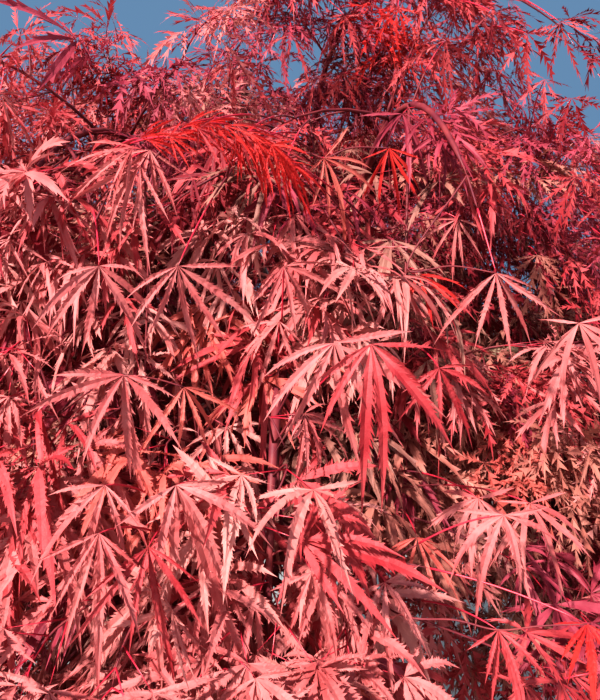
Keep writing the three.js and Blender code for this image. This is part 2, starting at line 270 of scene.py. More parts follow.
def stem_of(tier, sector, number):
    """The three control points of a mass's stem, which arches over the dome and falls."""
    draw = seeded(SEED_TIER * (number + 1) + SEED_SECTOR * (sector + 1))
    next(draw)
    azimuth = tier["azimuth"] + tier["turn"] * sector + AZIMUTH_SCATTER * (next(draw) - 0.5)
    tilt = tier["tilt"] + TILT_SCATTER * (next(draw) - 0.5)
    reach = tier["reach"] * (LEAST_REACH + REACH_SCATTER * next(draw))
    swing = SWING * (next(draw) - 0.5)
    return [
        on_dome(tier["entry"], tilt - ENTRY_RISE, azimuth),
        on_dome(tier["bend"], tilt - BEND_RISE, azimuth + 0.5 * swing),
        on_dome(reach, tilt + tier["fall"], azimuth + swing),
    ]


def bough_between(start, along, stem, degrees):
    """A cubic Bezier that leaves its carrier at an angle and runs into the stem's direction."""
    end = stem[0]
    towards = end - start
    length = np.linalg.norm(towards)
    across = unit(towards - towards @ along * along)
    angle = math.radians(degrees)
    leaving = along * math.cos(angle) + across * math.sin(angle)
    arriving = unit(stem[1] - stem[0])
    return [
        start,
        start + LEAVING_PULL * length * leaving,
        end - ARRIVING_PULL * length * arriving,
        end,
    ]


trunk_line = line_of(lambda t: FOOT + through(TRUNK_BENDS, t))
limbs = {"trunk": {"line": trunk_line, "thick": TRUNK_FOOT, "thin": TRUNK_FORK}}
stems = {}
for number, (tier_name, tier) in enumerate(TIERS.items()):
    for sector in tier["sectors"]:
        stem = stem_of(tier, sector, number)
        carried = tier["carrier"] != "trunk"
        carrier = limbs[f"bough_{tier['carrier']}_{sector + 1}" if carried else "trunk"]
        seat = tier["leaves_at"] + tier["climb"] * sector
        start, along = at(carrier["line"], seat)
        points = bough_between(start, along, stem, tier["leaves"])
        seat_radius = carrier["thick"] + (carrier["thin"] - carrier["thick"]) * seat
        limbs[f"bough_{tier_name}_{sector + 1}"] = {
            "line": line_of(lambda t, points=points: bezier(points, t)),
            "thick": min(tier["thick"], SEAT_SHARE * seat_radius),
            "thin": tier["thin"],
        }
        stems[f"foliage_{tier_name}_{sector + 1}"] = {
            "points": stem,
            "spread": tier["spread"],
            "thick": tier["thin"],
            "middle": at(line_of(lambda t, stem=stem: bezier(stem, t)), MASS_MIDDLE)[0],
        }
print("skeleton:", len(limbs), "limbs and", len(stems), "stems")

# %% [markdown]
# ## Putting arrays into meshes
# Every new piece is worked out as an array of points and an array of faces, and goes into its
# mesh in one call. Its object stays at the origin, so a pattern on Object coordinates keeps
# its place on the real thing.

# %% Mesh helpers
def mesh_piece(name, points, faces, materials, smooth=True):
    """One object from an array of points and an array of faces with three or four corners."""
    faces = np.asarray(faces)
    corners = faces.shape[1]
    mesh = bpy.data.meshes.new(name)
    mesh.vertices.add(len(points))
    mesh.vertices.foreach_set("co", np.asarray(points, np.float32).ravel())
    mesh.loops.add(faces.size)
    mesh.loops.foreach_set("vertex_index", faces.astype(np.int32).ravel())
    mesh.polygons.add(len(faces))
    mesh.polygons.foreach_set("loop_start", np.arange(len(faces), dtype=np.int32) * corners)
    mesh.polygons.foreach_set("loop_total", np.full(len(faces), corners, np.int32))
    mesh.polygons.foreach_set("use_smooth", np.full(len(faces), smooth))
    mesh.update(calc_edges=True)
    mesh.validate()
    for material in materials:
        mesh.materials.append(material)
    piece = bpy.data.objects.new(name, mesh)
    bpy.context.scene.collection.objects.link(piece)
    return piece


def dress(piece, nodes=()):
    """Lets a piece ride on the plant's one body, and hides the construction parts that it stands for."""
    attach(piece, "root")
    if nodes:
        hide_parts(*nodes)
    print(piece.name, len(piece.data.polygons), "faces")
    return piece


def grid_faces(rows, columns, closed):
    """Four corners for each cell of a grid of points, whose columns may close in a ring."""
    cells = (np.arange(rows - 1), np.arange(columns - (not closed)))
    row, column = np.meshgrid(*cells, indexing="ij")
    following = (column + 1) % columns
    a = row * columns + column
    b = row * columns + following
    return np.stack([a, b, b + columns, a + columns], -1).reshape(-1, 4)


def joined(parts):
    """Points and faces of several parts as one, with the face numbers moved along."""
    points, faces, count = [], [], 0
    for part_points, part_faces in parts:
        part_points = part_points.reshape(-1, 3)
        points.append(part_points)
        faces.append(part_faces + count)
        count += len(part_points)
    return np.concatenate(points), np.concatenate(faces)


def repeated(faces, corners, count):
    """The faces of one shape for a number of copies, whose corners follow one another."""
    first = corners * np.arange(count)[:, None, None]
    return (faces[None] + first).reshape(-1, faces.shape[1])


# %% Smooth noise from a lattice
def lattice_noise(u, v, columns, rows, seed):
    """Random heights on a lattice that closes along u, blended with a smooth step, -1 to 1."""
    heights = np.random.default_rng(seed).uniform(-1, 1, (columns, rows + 2))
    x = (np.asarray(u) % 1) * columns
    y = np.clip(np.asarray(v), 0, 1) * rows
    i, j = np.floor(x).astype(int) % columns, np.floor(y).astype(int)
    fx, fy = x - np.floor(x), y - j
    fx, fy = fx * fx * (3 - 2 * fx), fy * fy * (3 - 2 * fy)
    k = (i + 1) % columns
    low = heights[i, j] * (1 - fx) + heights[k, j] * fx
    high = heights[i, j + 1] * (1 - fx) + heights[k, j + 1] * fx
    return low * (1 - fy) + high * fy


# %% [markdown]
# ## Materials
# A leaf, a twig and the bark each have their own Principled shader. What they share is a node
# group for mottling: two noises of different scale that shift a colour a little and roughen
# the gloss, so that no surface is one flat colour.

# %% The mottle group
def link_all(tree, pairs):
    """Links each pair of an output and an input."""
    for source, target in pairs:
        tree.links.new(source, target)


def mottle_sockets(group):
    """The group's inputs with their usual values, and its outputs."""
    face = group.interface
    for name, kind, value in (
        ("Colour", "NodeSocketColor", (0.5, 0.5, 0.5, 1)),
        ("Second Colour", "NodeSocketColor", (0.5, 0.5, 0.5, 1)),
        ("Coarse Scale", "NodeSocketFloat", 20.0),
        ("Fine Scale", "NodeSocketFloat", 400.0),
        ("Stretch", "NodeSocketFloat", 1.0),
        ("Roughness", "NodeSocketFloat", 0.6),
        ("Roughness Change", "NodeSocketFloat", 0.2),
    ):
        face.new_socket(name, in_out="INPUT", socket_type=kind).default_value = value
    for name, kind in (("Colour", "Color"), ("Roughness", "Float"), ("Height", "Float")):
        face.new_socket(name, in_out="OUTPUT", socket_type="NodeSocket" + kind)


def two_noises(group, given):
    """A coarse and a fine noise on Object coordinates, which may be stretched upwards."""
    nodes = group.nodes
    place = nodes.new("ShaderNodeTexCoord")
    stretch = nodes.new("ShaderNodeCombineXYZ")
    stretch.inputs["X"].default_value = 1.0
    stretch.inputs["Y"].default_value = 1.0
    scaled = nodes.new("ShaderNodeVectorMath")
    scaled.operation = "MULTIPLY"
    coarse = nodes.new("ShaderNodeTexNoise")
    coarse.inputs["Detail"].default_value = 3.0
    fine = nodes.new("ShaderNodeTexNoise")
    fine.inputs["Detail"].default_value = 2.0
    link_all(group, (
        (given.outputs["Stretch"], stretch.inputs["Z"]),
        (place.outputs["Object"], scaled.inputs[0]),
        (stretch.outputs[0], scaled.inputs[1]),
        (scaled.outputs[0], coarse.inputs["Vector"]),
        (scaled.outputs[0], fine.inputs["Vector"]),
        (given.outputs["Coarse Scale"], coarse.inputs["Scale"]),
        (given.outputs["Fine Scale"], fine.inputs["Scale"]),
    ))
    return coarse.outputs["Fac"], fine.outputs["Fac"]


def mottle_group():
    """Coarse noise mixes two colours, and fine noise gives a height and moves the roughness."""
    group = bpy.data.node_groups.new("mottle", "ShaderNodeTree")
    mottle_sockets(group)
    nodes = group.nodes
    given = nodes.new("NodeGroupInput")
    result = nodes.new("NodeGroupOutput")
    coarse, fine = two_noises(group, given)
    spread = nodes.new("ShaderNodeMapRange")
    spread.inputs["From Min"].default_value = 0.35
    spread.inputs["From Max"].default_value = 0.65
    blend = nodes.new("ShaderNodeMix")
    blend.data_type = "RGBA"
    change = nodes.new("ShaderNodeMath")
    change.operation = "MULTIPLY_ADD"
    # Inputs 6 and 7 and output 2 of the blend are its colours.
    link_all(group, (
        (coarse, spread.inputs["Value"]),
        (spread.outputs[0], blend.inputs["Factor"]),
        (given.outputs["Colour"], blend.inputs[6]),
        (given.outputs["Second Colour"], blend.inputs[7]),
        (blend.outputs[2], result.inputs["Colour"]),
        (fine, change.inputs[0]),
        (given.outputs["Roughness Change"], change.inputs[1]),
        (given.outputs["Roughness"], change.inputs[2]),
        (change.outputs[0], result.inputs["Roughness"]),
        (fine, result.inputs["Height"]),
    ))
    return group


MOTTLE = mottle_group()

# %% A finish from the mottle group
def let_through(tree, colour, surface, glow):
    """Mixes a share of light that passes through into a surface, for thin leaves."""
    passing = tree.nodes.new("ShaderNodeBsdfTranslucent")
    mix = tree.nodes.new("ShaderNodeMixShader")
    mix.inputs["Fac"].default_value = glow
    link_all(tree, (
        (colour, passing.inputs["Color"]),
        (surface.outputs[0], mix.inputs[1]),
        (passing.outputs[0], mix.inputs[2]),
        (mix.outputs[0], tree.nodes["Material Output"].inputs["Surface"]),
    ))


def finish_of(name, colour, second, coarse, fine, roughness, change=0.15, bump=0.2, depth=0.001,
              stretch=1.0, specular=0.5, glow=0.0):
    """A Principled surface fed by the mottle group, which may let a share of light through."""
    material = bpy.data.materials.new(name)
    material.use_nodes = True
    tree = material.node_tree
    surface = tree.nodes["Principled BSDF"]
    surface.inputs["Specular IOR Level"].default_value = specular
    mottle = tree.nodes.new("ShaderNodeGroup")
    mottle.node_tree = MOTTLE
    for socket, value in (
        ("Colour", (*colour, 1)),
        ("Second Colour", (*second, 1)),
        ("Coarse Scale", coarse),
        ("Fine Scale", fine),
        ("Stretch", stretch),
        ("Roughness", roughness),
        ("Roughness Change", change),
    ):
        mottle.inputs[socket].default_value = value
    relief = tree.nodes.new("ShaderNodeBump")
    relief.inputs["Strength"].default_value = bump
    relief.inputs["Distance"].default_value = depth
    link_all(tree, (
        (mottle.outputs["Colour"], surface.inputs["Base Color"]),
        (mottle.outputs["Roughness"], surface.inputs["Roughness"]),
        (mottle.outputs["Height"], relief.inputs["Height"]),
        (relief.outputs["Normal"], surface.inputs["Normal"]),
    ))
    if glow:
        let_through(tree, mottle.outputs["Colour"], surface, glow)
    return material


# %% The finishes
OLD_BARK = finish_of("old_bark", (0.20, 0.15, 0.11), (0.10, 0.07, 0.055), coarse=22, fine=260,
                     roughness=0.75, bump=0.6, depth=0.002, stretch=0.35, specular=0.25)
YOUNG_BARK = finish_of("young_bark", (0.30, 0.19, 0.12), (0.13, 0.06, 0.05), coarse=18, fine=500,
                       roughness=0.55, bump=0.3, stretch=0.4, specular=0.35)
TWIG_SKIN = finish_of("twig_skin", (0.10, 0.012, 0.020), (0.17, 0.025, 0.028), coarse=45, fine=900,
                      roughness=0.5, bump=0.15, specular=0.2)
STALK_SKIN = finish_of("stalk_skin", (0.50, 0.02, 0.045), (0.36, 0.012, 0.03), coarse=60, fine=900,
                       roughness=0.35, bump=0.1)
POT_PLASTIC = finish_of("pot_plastic", (0.012, 0.012, 0.013), (0.022, 0.021, 0.020), coarse=9,
                        fine=700, roughness=0.42, change=0.25, bump=0.15)
COMPOST = finish_of("compost", (0.035, 0.02, 0.013), (0.012, 0.008, 0.006), coarse=60, fine=300,
                    roughness=0.85, bump=0.8, depth=0.004, specular=0.2)
CHIP_BARK = finish_of("chip_bark", (0.13, 0.065, 0.035), (0.05, 0.026, 0.017), coarse=35, fine=400,
                      roughness=0.8, bump=0.5, depth=0.002, specular=0.2)
print("materials:", len(bpy.data.materials))

# %% [markdown]
# ## The trunk and the boughs
# Maple bark is smooth when young and gets long shallow furrows with age. A limb is a grid of
# rings round its line. The radius tapers, swells where the limb leaves its carrier, and
# carries the relief, so that the furrows show in the outline too.

# %% Rings along a line
def frames_along(tangents):
    """Two directions across each tangent, carried on from ring to ring with the least turn."""
    axis = np.eye(3)[np.argmin(np.abs(tangents[0]))]
    across = [unit(np.cross(tangents[0], np.cross(tangents[0], axis)))]
    for tangent in tangents[1:]:
        across.append(unit(across[-1] - across[-1] @ tangent * tangent))
    across = np.array(across)
    return across, np.cross(tangents, across)


def limb_surface(line, radius_of, rings, sides, first=0.0, last=1.0):
    """Place(share) + radius(share, angle) * (cos(angle) * across + sin(angle) * over)."""
    shares = np.linspace(first, last, rings)
    places, tangents = at(line, shares)
    across, over = frames_along(tangents)
    angles = np.linspace(0, 2 * math.pi, sides, endpoint=False)
    radius = radius_of(shares[:, None], angles[None, :])[..., None]
    ring = (
        np.cos(angles)[None, :, None] * across[:, None]
        + np.sin(angles)[None, :, None] * over[:, None]
    )
    return places[:, None] + radius * ring, grid_faces(rings, sides, closed=True)


def capped(points, faces):
    """A stack of rings as triangles, with a fan round a middle point at each end."""
    rings, sides = points.shape[:2]
    flat = np.concatenate([points.reshape(-1, 3), points[:1].mean(1), points[-1:].mean(1)])
    here = np.arange(sides)
    after = (here + 1) % sides
    foot = np.stack([after, here, np.full(sides, rings * sides)], -1)
    top = (rings - 1) * sides
    tip = np.stack([top + here, top + after, np.full(sides, rings * sides + 1)], -1)
    halves = np.concatenate([faces[:, [0, 1, 2]], faces[:, [0, 2, 3]]])
    return flat, np.concatenate([halves, foot, tip])


# %% The trunk
TRUNK_RINGS, TRUNK_SIDES = 150, 84
FURROW_DEPTH, KNOT_DEPTH = 0.045, 0.05  # as shares of the radius
FINE_RELIEF = 0.3  # the fine noise's share of the furrows
FURROW_SHARPNESS = 0.6  # the power that makes furrows narrow and the ridges between them broad
FURROW_WANDER, FURROW_WAVES = 0.05, 9  # how far the furrows wind round the trunk, and how often
RIB_DEPTH, RIB_WANDER = 0.45, 0.6  # how deep and how uneven the gaps between the roots are
ROUND_SHARE, LEAST_SQUARE = 0.015, 0.02  # the share that is rounded off, and where that ends


def trunk_radius(share, angle):
    """Taper times root flare, times one plus the furrows, and rounded off above the fork."""
    height = share * trunk_line[1][-1]
    flare = np.maximum(0, 1 - height / FLARE_HEIGHT) ** 2
    lobes = np.cos(FLARE_RIBS * angle + RIB_WANDER * np.sin(angle))
    rib = 1 - RIB_DEPTH + RIB_DEPTH * lobes
    even = TRUNK_FOOT + (TRUNK_FORK - TRUNK_FOOT) * share
    turn = angle / (2 * math.pi) + FURROW_WANDER * np.sin(FURROW_WAVES * share)
    strips = lattice_noise(turn, share, columns=22, rows=16, seed=3)
    furrows = 1 - np.abs(strips) ** FURROW_SHARPNESS * 2
    fine = lattice_noise(turn, share, columns=56, rows=90, seed=4)
    knots = lattice_noise(turn, share, columns=4, rows=12, seed=5)
    relief = FURROW_DEPTH * ((1 - FINE_RELIEF) * furrows + FINE_RELIEF * fine) + KNOT_DEPTH * knots
    past = np.clip((share - (1 - ROUND_SHARE)) / ROUND_SHARE, 0, 1)
    dome = np.sqrt(np.maximum(1 - past**2, LEAST_SQUARE))
    return even * (1 + FLARE_OUT * flare * rib) * (1 + relief) * dome


trunk_points, trunk_faces = limb_surface(trunk_line, trunk_radius, TRUNK_RINGS, TRUNK_SIDES)
trunk_points, trunk_faces = capped(trunk_points, trunk_faces)
trunk = mesh_piece("trunk_bark", trunk_points, trunk_faces, [OLD_BARK])
dress(trunk, ["trunk"])

# %% The boughs
BOUGH_RINGS, BOUGH_SIDES = 70, 14
COLLAR_SWELL, COLLAR_FADE = 0.55, 0.03  # how thick the swollen foot is, and metres to its end
BUD_SWELL, BUD_STEP = 0.09, 0.055  # the rings of old buds, and metres from one to the next
BOUGH_RELIEF = 0.06


def bough_radius(limb, seed):
    """Taper times one plus the collar at the foot, the rings of old buds and a fine relief."""
    length = limb["line"][1][-1]

    def radius(share, angle):
        even = limb["thick"] + (limb["thin"] - limb["thick"]) * share
        collar = COLLAR_SWELL * np.exp(-share * length / COLLAR_FADE)
        rings = BUD_SWELL * np.maximum(0, np.cos(2 * math.pi * share * length / BUD_STEP)) ** 12
        turn = angle / (2 * math.pi) + 0 * share
        fine = lattice_noise(turn, share + 0 * angle, columns=7, rows=40, seed=seed)
        return even * (1 + collar + rings + BOUGH_RELIEF * fine)

    return radius


bough_names = [name for name in limbs if name != "trunk"]
bough_parts = []
for seed, name in enumerate(bough_names):
    limb = limbs[name]
    surface = limb_surface(limb["line"], bough_radius(limb, 20 + seed), BOUGH_RINGS, BOUGH_SIDES)
    bough_parts.append(capped(*surface))
bough_points, bough_faces = joined(bough_parts)
boughs = mesh_piece("bough_bark", bough_points, bough_faces, [YOUNG_BARK])
dress(boughs, bough_names)

# %% [markdown]
# ## The pot
# A nursery pot is blown or moulded in black plastic, with a rolled rim, a step under it, two
# stiffening bands and a rounded foot. It is one profile turned round an axis, and the profile's
# corners are rounded by points that lie close together.

# %% Turn the pot
POT_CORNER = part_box("pot")[1]
POT_HEIGHT = POT_CORNER.z
RIM_OUT, RIM_DEPTH, POT_WALL, POT_TAPER = 0.011, 0.030, 0.005, 0.044
MOUTH_RADIUS = POT_CORNER.x - RIM_OUT
FOOT_RADIUS = MOUTH_RADIUS - POT_TAPER
POT_ROUND, RIM_ROUND, STEP_ROUND = 0.005, 0.004, 0.003
BASE_RISE, FLOOR_RISE, INSIDE_TOP = 0.004, 0.008, 0.31  # heights of the base and of the inside
BASE_IN, RING_IN = 0.020, 0.014  # how far in the raised base and the ring that it stands on begin
BAND_HEIGHTS, BAND_OUT = (0.11, 0.225), 0.0022  # two stiffening bands and how far they stand out
BAND_FOOT, BAND_FACE = 0.006, 0.004  # half of a band's height at the wall and at its face
AXIS = 0.0005  # the radius of the profile's first and last ring
POT_SIDES = 128


def pot_wall(z):
    """The radius of the pot's outside at a height, on a straight taper."""
    return FOOT_RADIUS + (MOUTH_RADIUS - FOOT_RADIUS) * z / POT_HEIGHT


def arc(centre, radius, first, last, count=6):
    """Points on a round of a profile, from one angle to another in degrees."""
    angles = np.radians(np.linspace(first, last, count))
    return [(centre[0] + radius * math.cos(a), centre[1] + radius * math.sin(a)) for a in angles]


def round_axis(radius, angle, height):
    """Points at a radius, an angle and a height about the pot's axis."""
    parts = np.broadcast_arrays(radius * np.cos(angle), radius * np.sin(angle), height)
    return np.stack(parts, -1)


def turned(profile, sides):
    """Each point of a profile (radius, height) carried round the axis."""
    profile = np.array(profile)
    angles = np.linspace(0, 2 * math.pi, sides, endpoint=False)
    points = round_axis(profile[:, :1], angles, profile[:, 1:])
    return points, grid_faces(len(profile), sides, closed=True)


def band_profile(middle):
    """A stiffening band: out from the wall, up its face and back to the wall."""
    face = pot_wall(middle) + BAND_OUT
    return [
        (pot_wall(middle - BAND_FOOT), middle - BAND_FOOT),
        (face, middle - BAND_FACE),
        (face, middle + BAND_FACE),
        (pot_wall(middle + BAND_FOOT), middle + BAND_FOOT),
    ]


rim_foot = POT_HEIGHT - RIM_DEPTH
rim_outside = pot_wall(POT_HEIGHT) + RIM_OUT
pot_profile = [
    (AXIS, BASE_RISE), (FOOT_RADIUS - BASE_IN, BASE_RISE), (FOOT_RADIUS - RING_IN, 0.0),
    *arc((FOOT_RADIUS - POT_ROUND, POT_ROUND), POT_ROUND, -90, -8),
    *[point for middle in BAND_HEIGHTS for point in band_profile(middle)],
    *arc((pot_wall(rim_foot) + STEP_ROUND, rim_foot - STEP_ROUND), STEP_ROUND, 180, 90, 4),
    *arc((pot_wall(rim_foot) + RIM_OUT - RIM_ROUND, rim_foot + RIM_ROUND), RIM_ROUND, -90, 0),
    *arc((rim_outside - POT_ROUND, POT_HEIGHT - POT_ROUND), POT_ROUND, 0, 90),
    *arc((MOUTH_RADIUS - POT_WALL + RIM_ROUND, POT_HEIGHT - RIM_ROUND), RIM_ROUND, 90, 180),
    (pot_wall(INSIDE_TOP) - POT_WALL, INSIDE_TOP),
    (pot_wall(FLOOR_RISE) - POT_WALL, FLOOR_RISE),
    (AXIS, FLOOR_RISE),
]
pot = mesh_piece("nursery_pot", *capped(*turned(pot_profile, POT_SIDES)), [POT_PLASTIC])
dress(pot, ["pot"])

# %% [markdown]
# ## The soil
# Growers top a maple's compost with shredded bark. The compost is a round body with low lumps
# on its top. On it lie 1,500 splinters of bark with eight corners each, at random tilts.

# %% The compost
SOIL_RINGS, SOIL_SIDES = 34, 90
SOIL_GAP, SOIL_SINK = 0.0006, 0.0045  # metres off the wall, and under the solid's top
SOIL_FOOT = 0.30  # the height of the compost's underside
SLOPE_START, SLOPE_DEPTH = 0.72, 0.010  # the soil falls off from this share of the radius
LUMP_HEIGHT, CRUMB_HEIGHT = 0.0028, 0.0016
SOIL_EDGE = pot_wall(SOIL_TOP) - POT_WALL - SOIL_GAP


def soil_height(radius, turn):
    """Level in the middle, lower at the wall, with lumps from two noises."""
    share = radius / SOIL_EDGE
    slope = SLOPE_DEPTH * np.clip((share - SLOPE_START) / (1 - SLOPE_START), 0, 1) ** 1.5
    lumps = LUMP_HEIGHT * lattice_noise(turn, share, columns=18, rows=7, seed=31)
    crumbs = CRUMB_HEIGHT * lattice_noise(turn, share, columns=50, rows=20, seed=32)
    return SOIL_TOP - SOIL_SINK - slope + (lumps + crumbs)


ring_radius = np.linspace(0.001, SOIL_EDGE, SOIL_RINGS)[:, None]
ring_turn = np.linspace(0, 1, SOIL_SIDES, endpoint=False)[None, :]
soil_points = round_axis(ring_radius, 2 * math.pi * ring_turn, soil_height(ring_radius, ring_turn))
soil_skirt = soil_points[-1:].copy()
soil_skirt[..., 2] = SOIL_FOOT
soil_points = np.concatenate([soil_points, soil_skirt])
soil_points, soil_faces = capped(soil_points, grid_faces(SOIL_RINGS + 1, SOIL_SIDES, closed=True))
soil = mesh_piece("compost", soil_points, soil_faces[:, ::-1], [COMPOST])
dress(soil, ["soil"])

# %% The bark chips
CHIPS = 1500
CHIP_MARGIN = 0.020  # metres from the wall to the middle of the nearest chip, over half a chip
CHIP_SIDES = ((0.004, 0.011), (0.009, 0.032), (0.0012, 0.004))  # least and most of each side
CHIP_CORNERS = (0.6, 1.15)  # how far a corner is drawn in or out
CHIP_LIFT, CHIP_TILT = 0.004, 0.16
CHIP_BOX = np.array([[x, y, z] for z in (-0.5, 0.5) for y in (-0.5, 0.5) for x in (-0.5, 0.5)])
CHIP_FACES = np.array(
    [[0, 2, 3, 1], [4, 5, 7, 6], [0, 1, 5, 4], [1, 3, 7, 5], [3, 2, 6, 7], [2, 0, 4, 6]]
)
chip_draw = np.random.default_rng(41)


def random_turns(draw, count, tilt):
    """Rotation matrices: a turn about the upright axis after a small tilt about a level one."""
    turn = draw.uniform(0, 2 * math.pi, count)
    lean_x, lean_y = draw.normal(0, tilt, (2, count))
    forward = unit(np.stack([np.cos(turn), np.sin(turn), lean_x], -1))
    up = np.stack([lean_y, lean_x * 0, np.ones(count)], -1)
    side = unit(np.cross(up, forward))
    return np.stack([side, forward, np.cross(side, forward)], 1)


chip_radius = np.sqrt(chip_draw.uniform(0.0, 1, CHIPS)) * (SOIL_EDGE - CHIP_MARGIN)
chip_turn = chip_draw.uniform(0, 1, CHIPS)
chip_size = np.stack([chip_draw.uniform(*limits, CHIPS) for limits in CHIP_SIDES], -1)
chip_shape = CHIP_BOX * chip_size[:, None] * chip_draw.uniform(*CHIP_CORNERS, (CHIPS, 8, 3))
chip_height = soil_height(chip_radius, chip_turn) + chip_draw.uniform(0.0, CHIP_LIFT, CHIPS)
chip_places = round_axis(chip_radius, 2 * math.pi * chip_turn, chip_height)
chip_points = chip_shape @ random_turns(chip_draw, CHIPS, CHIP_TILT) + chip_places[:, None]
chip_faces = repeated(CHIP_FACES, 8, CHIPS)
chips = mesh_piece("bark_chips", chip_points.reshape(-1, 3), chip_faces, [CHIP_BARK], smooth=False)
dress(chips)

# %% [markdown]
# ## Twigs
# A maple branches in opposite pairs. The same rule is used over and over: from each parent,
# pairs of twigs leave at an angle, shorter towards the tip, and hang at their ends. A twig is
# a parabola through three control points, so thousands of them are three arrays.

# %% The branching rule
TWIG_ANGLE, ANGLE_SCATTER = 52.0, 24  # degrees between a twig and its parent
TWIG_BEND = 0.55  # the share of a twig's length at which it begins to fall
TWIG_SAG, SMALL_SAG, TIP_SAG = 0.30, 0.34, 0.4  # how far twigs hang, as shares of their length
SIDE_TIP = 0.4  # how far a pair is tipped from level towards the crown's outside
TIP_SHORTER = 0.4  # how much shorter the twigs at a parent's tip are
LEAST_TWIG, TWIG_SCATTER = 0.75, 0.45  # shortest length and its scatter, as shares
RADII = {  # metres at the start and at the end of each kind of twig
    "first": (0.0022, 0.0011),
    "spur": (0.0018, 0.0010),
    "second": (0.0012, 0.0007),
    "tip": (0.0011, 0.0007),
    "clear": (0.0011, 0.0006),
    "spray": (0.0012, 0.0007),
    "stalk": (0.00085, 0.00065),
}
grow_draw = np.random.default_rng(7)


def parabola(twigs, share):
    """Place and direction on each twig at its share: a quadratic Bezier and its derivative."""
    start, bend, end = twigs["start"], twigs["bend"], twigs["end"]
    t = np.broadcast_to(share, len(start))[:, None]
    place = (1 - t) ** 2 * start + 2 * t * (1 - t) * bend + t**2 * end
    return place, unit((1 - t) * (bend - start) + t * (end - bend))


def tapers(kind, count):
    """The two radii of a kind of twig, for a number of twigs."""
    thick, thin = RADII[kind]
    return {"thick": np.full(count, thick), "thin": np.full(count, thin)}


def make_twigs(start, aim, length, kind, mass, sag):
    """Parabolas that run along their aim and end lower by the sag, as a share of the length."""
    reach = length[:, None]
    return {
        "start": start,
        "bend": start + TWIG_BEND * reach * aim,
        "end": start + reach * aim - sag * reach * UP,
        **tapers(kind, len(start)),
        "mass": mass,
        "length": length,
    }


def outward_at(points):
    """The level direction away from the trunk's axis."""
    return unit(points * [1, 1, 0])


def level_across(along, places):
    """The direction across a twig in which a pair opens: level, but tipped to the outside."""
    return unit(np.cross(along, UP + SIDE_TIP * outward_at(places)))


def branch(parents, shares, spread, kind, sag, roll):
    """Two twigs at each share of each parent, with every other pair turned by a right angle."""
    rows = []
    count = len(parents["start"])
    for pair, share in enumerate(shares):
        for hand in (-1, 1):
            place, along = parabola(parents, share)
            level = level_across(along, place)
            over = np.cross(level, along)
            turn = (pair % 2) * math.pi / 2 + grow_draw.normal(0, roll, count)[:, None]
            across = np.cos(turn) * level + np.sin(turn) * over
            angle = TWIG_ANGLE + ANGLE_SCATTER * (grow_draw.random(count) - 0.5)
            angle = np.radians(angle)[:, None]
            aim = np.cos(angle) * along + hand * np.sin(angle) * across
            scatter = LEAST_TWIG + TWIG_SCATTER * grow_draw.random(count)
            length = spread * (1 - TIP_SHORTER * share) * scatter
            rows.append(make_twigs(place, aim, length, kind, parents["mass"], sag))
    return stacked(rows)


def stacked(rows):
    """Several sets of twigs or leaves as one set of arrays."""
    return {key: np.concatenate([row[key] for row in rows]) for key in rows[0]}


def only(rows, keep):
    """The twigs or leaves for which keep is true."""
    return {key: values[keep] for key, values in rows.items()}


# %% Each mass keeps to its own space
LEAFY_RISE, LEAFY_DROP = 0.69, 0.56  # metres up and down from the crown's middle
LEAFY_TOP = cad_box[1].z + 0.015
LEAFY_FOOT = 0.42
TWIG_DOME, LEAF_DOME = 1.06, 1.03  # how far out the ends of twigs and the palms of leaves go
INTERLOCK = 0.03  # metres that the small twigs of neighbours may reach into each other
TWIG_INTERLOCK, LEAF_INTERLOCK = 0.06, 0.05  # the same for larger twigs and for palms
MIDDLES = np.array([stem["middle"] for stem in stems.values()])


def in_space(points, mass, interlock):
    """True where the plane halfway to every other mass's middle is not passed by the interlock."""
    apart = points[:, None] - MIDDLES[None]
    squares = (apart**2).sum(-1)
    own = squares[np.arange(len(points)), mass]
    between = np.linalg.norm(MIDDLES[None] - MIDDLES[mass][:, None], axis=-1)
    gain = (squares - own[:, None]) / (2 * between + 1e-9)
    gain[np.arange(len(points)), mass] = 1
    return gain.min(1) > -interlock


def dome_share(points):
    """How far out a point lies between the crown's middle, 0, and its outside, 1."""
    x, y, z = (points - FOOT - [0, 0, CROWN_MIDDLE]).T
    rise = np.where(z > 0, LEAFY_RISE, LEAFY_DROP)
    return np.sqrt((x**2 + y**2) / CROWN_RADIUS**2 + (z / rise) ** 2)


def in_dome(points, share):
    """True inside the crown's dome, above the lowest that the skirt hangs and under the top."""
    heights = points[:, 2]
    return (dome_share(points) < share) & (heights < LEAFY_TOP) & (heights > LEAFY_FOOT)


# %% What the picture leaves open
# The front's least distance in metres, and how much more it is at the right and at the top.
FRONT_NEAR, FRONT_RIGHT, FRONT_TOP = 0.34, 0.24, 0.18
# The middle and half sizes in pixels, how open, and the distance to which an opening reaches.
OPENINGS = {
    "top_left": (118, 20, 50, 30, 0.5, 9.0),
    "top_middle": (290, 2, 50, 12, 0.6, 9.0),
    "top_right": (594, 45, 12, 26, 0.4, 9.0),
    "gap_left": (290, 116, 14, 12, 0.9, 9.0),
    "gap_right": (436, 107, 20, 12, 0.8, 9.0),
    "dark_left": (60, 335, 45, 35, 0.7, 0.75),
    "dark_middle": (190, 330, 40, 25, 0.6, 0.75),
    "dark_right": (450, 455, 60, 40, 0.6, 0.85),
    "low_right": (575, 590, 40, 40, 0.5, 0.95),
}
VIEW_MARGIN = 90  # pixels beyond the picture's edges in which the front is still held back


def near_picture(x, y, beside, above):
    """True for pixels in the picture, or beyond its edges by no more than the two margins."""
    across = np.abs(x - PICTURE_WIDE / 2) <= PICTURE_WIDE / 2 + beside
    return across & (np.abs(y - PICTURE_HIGH / 2) <= PICTURE_HIGH / 2 + above)


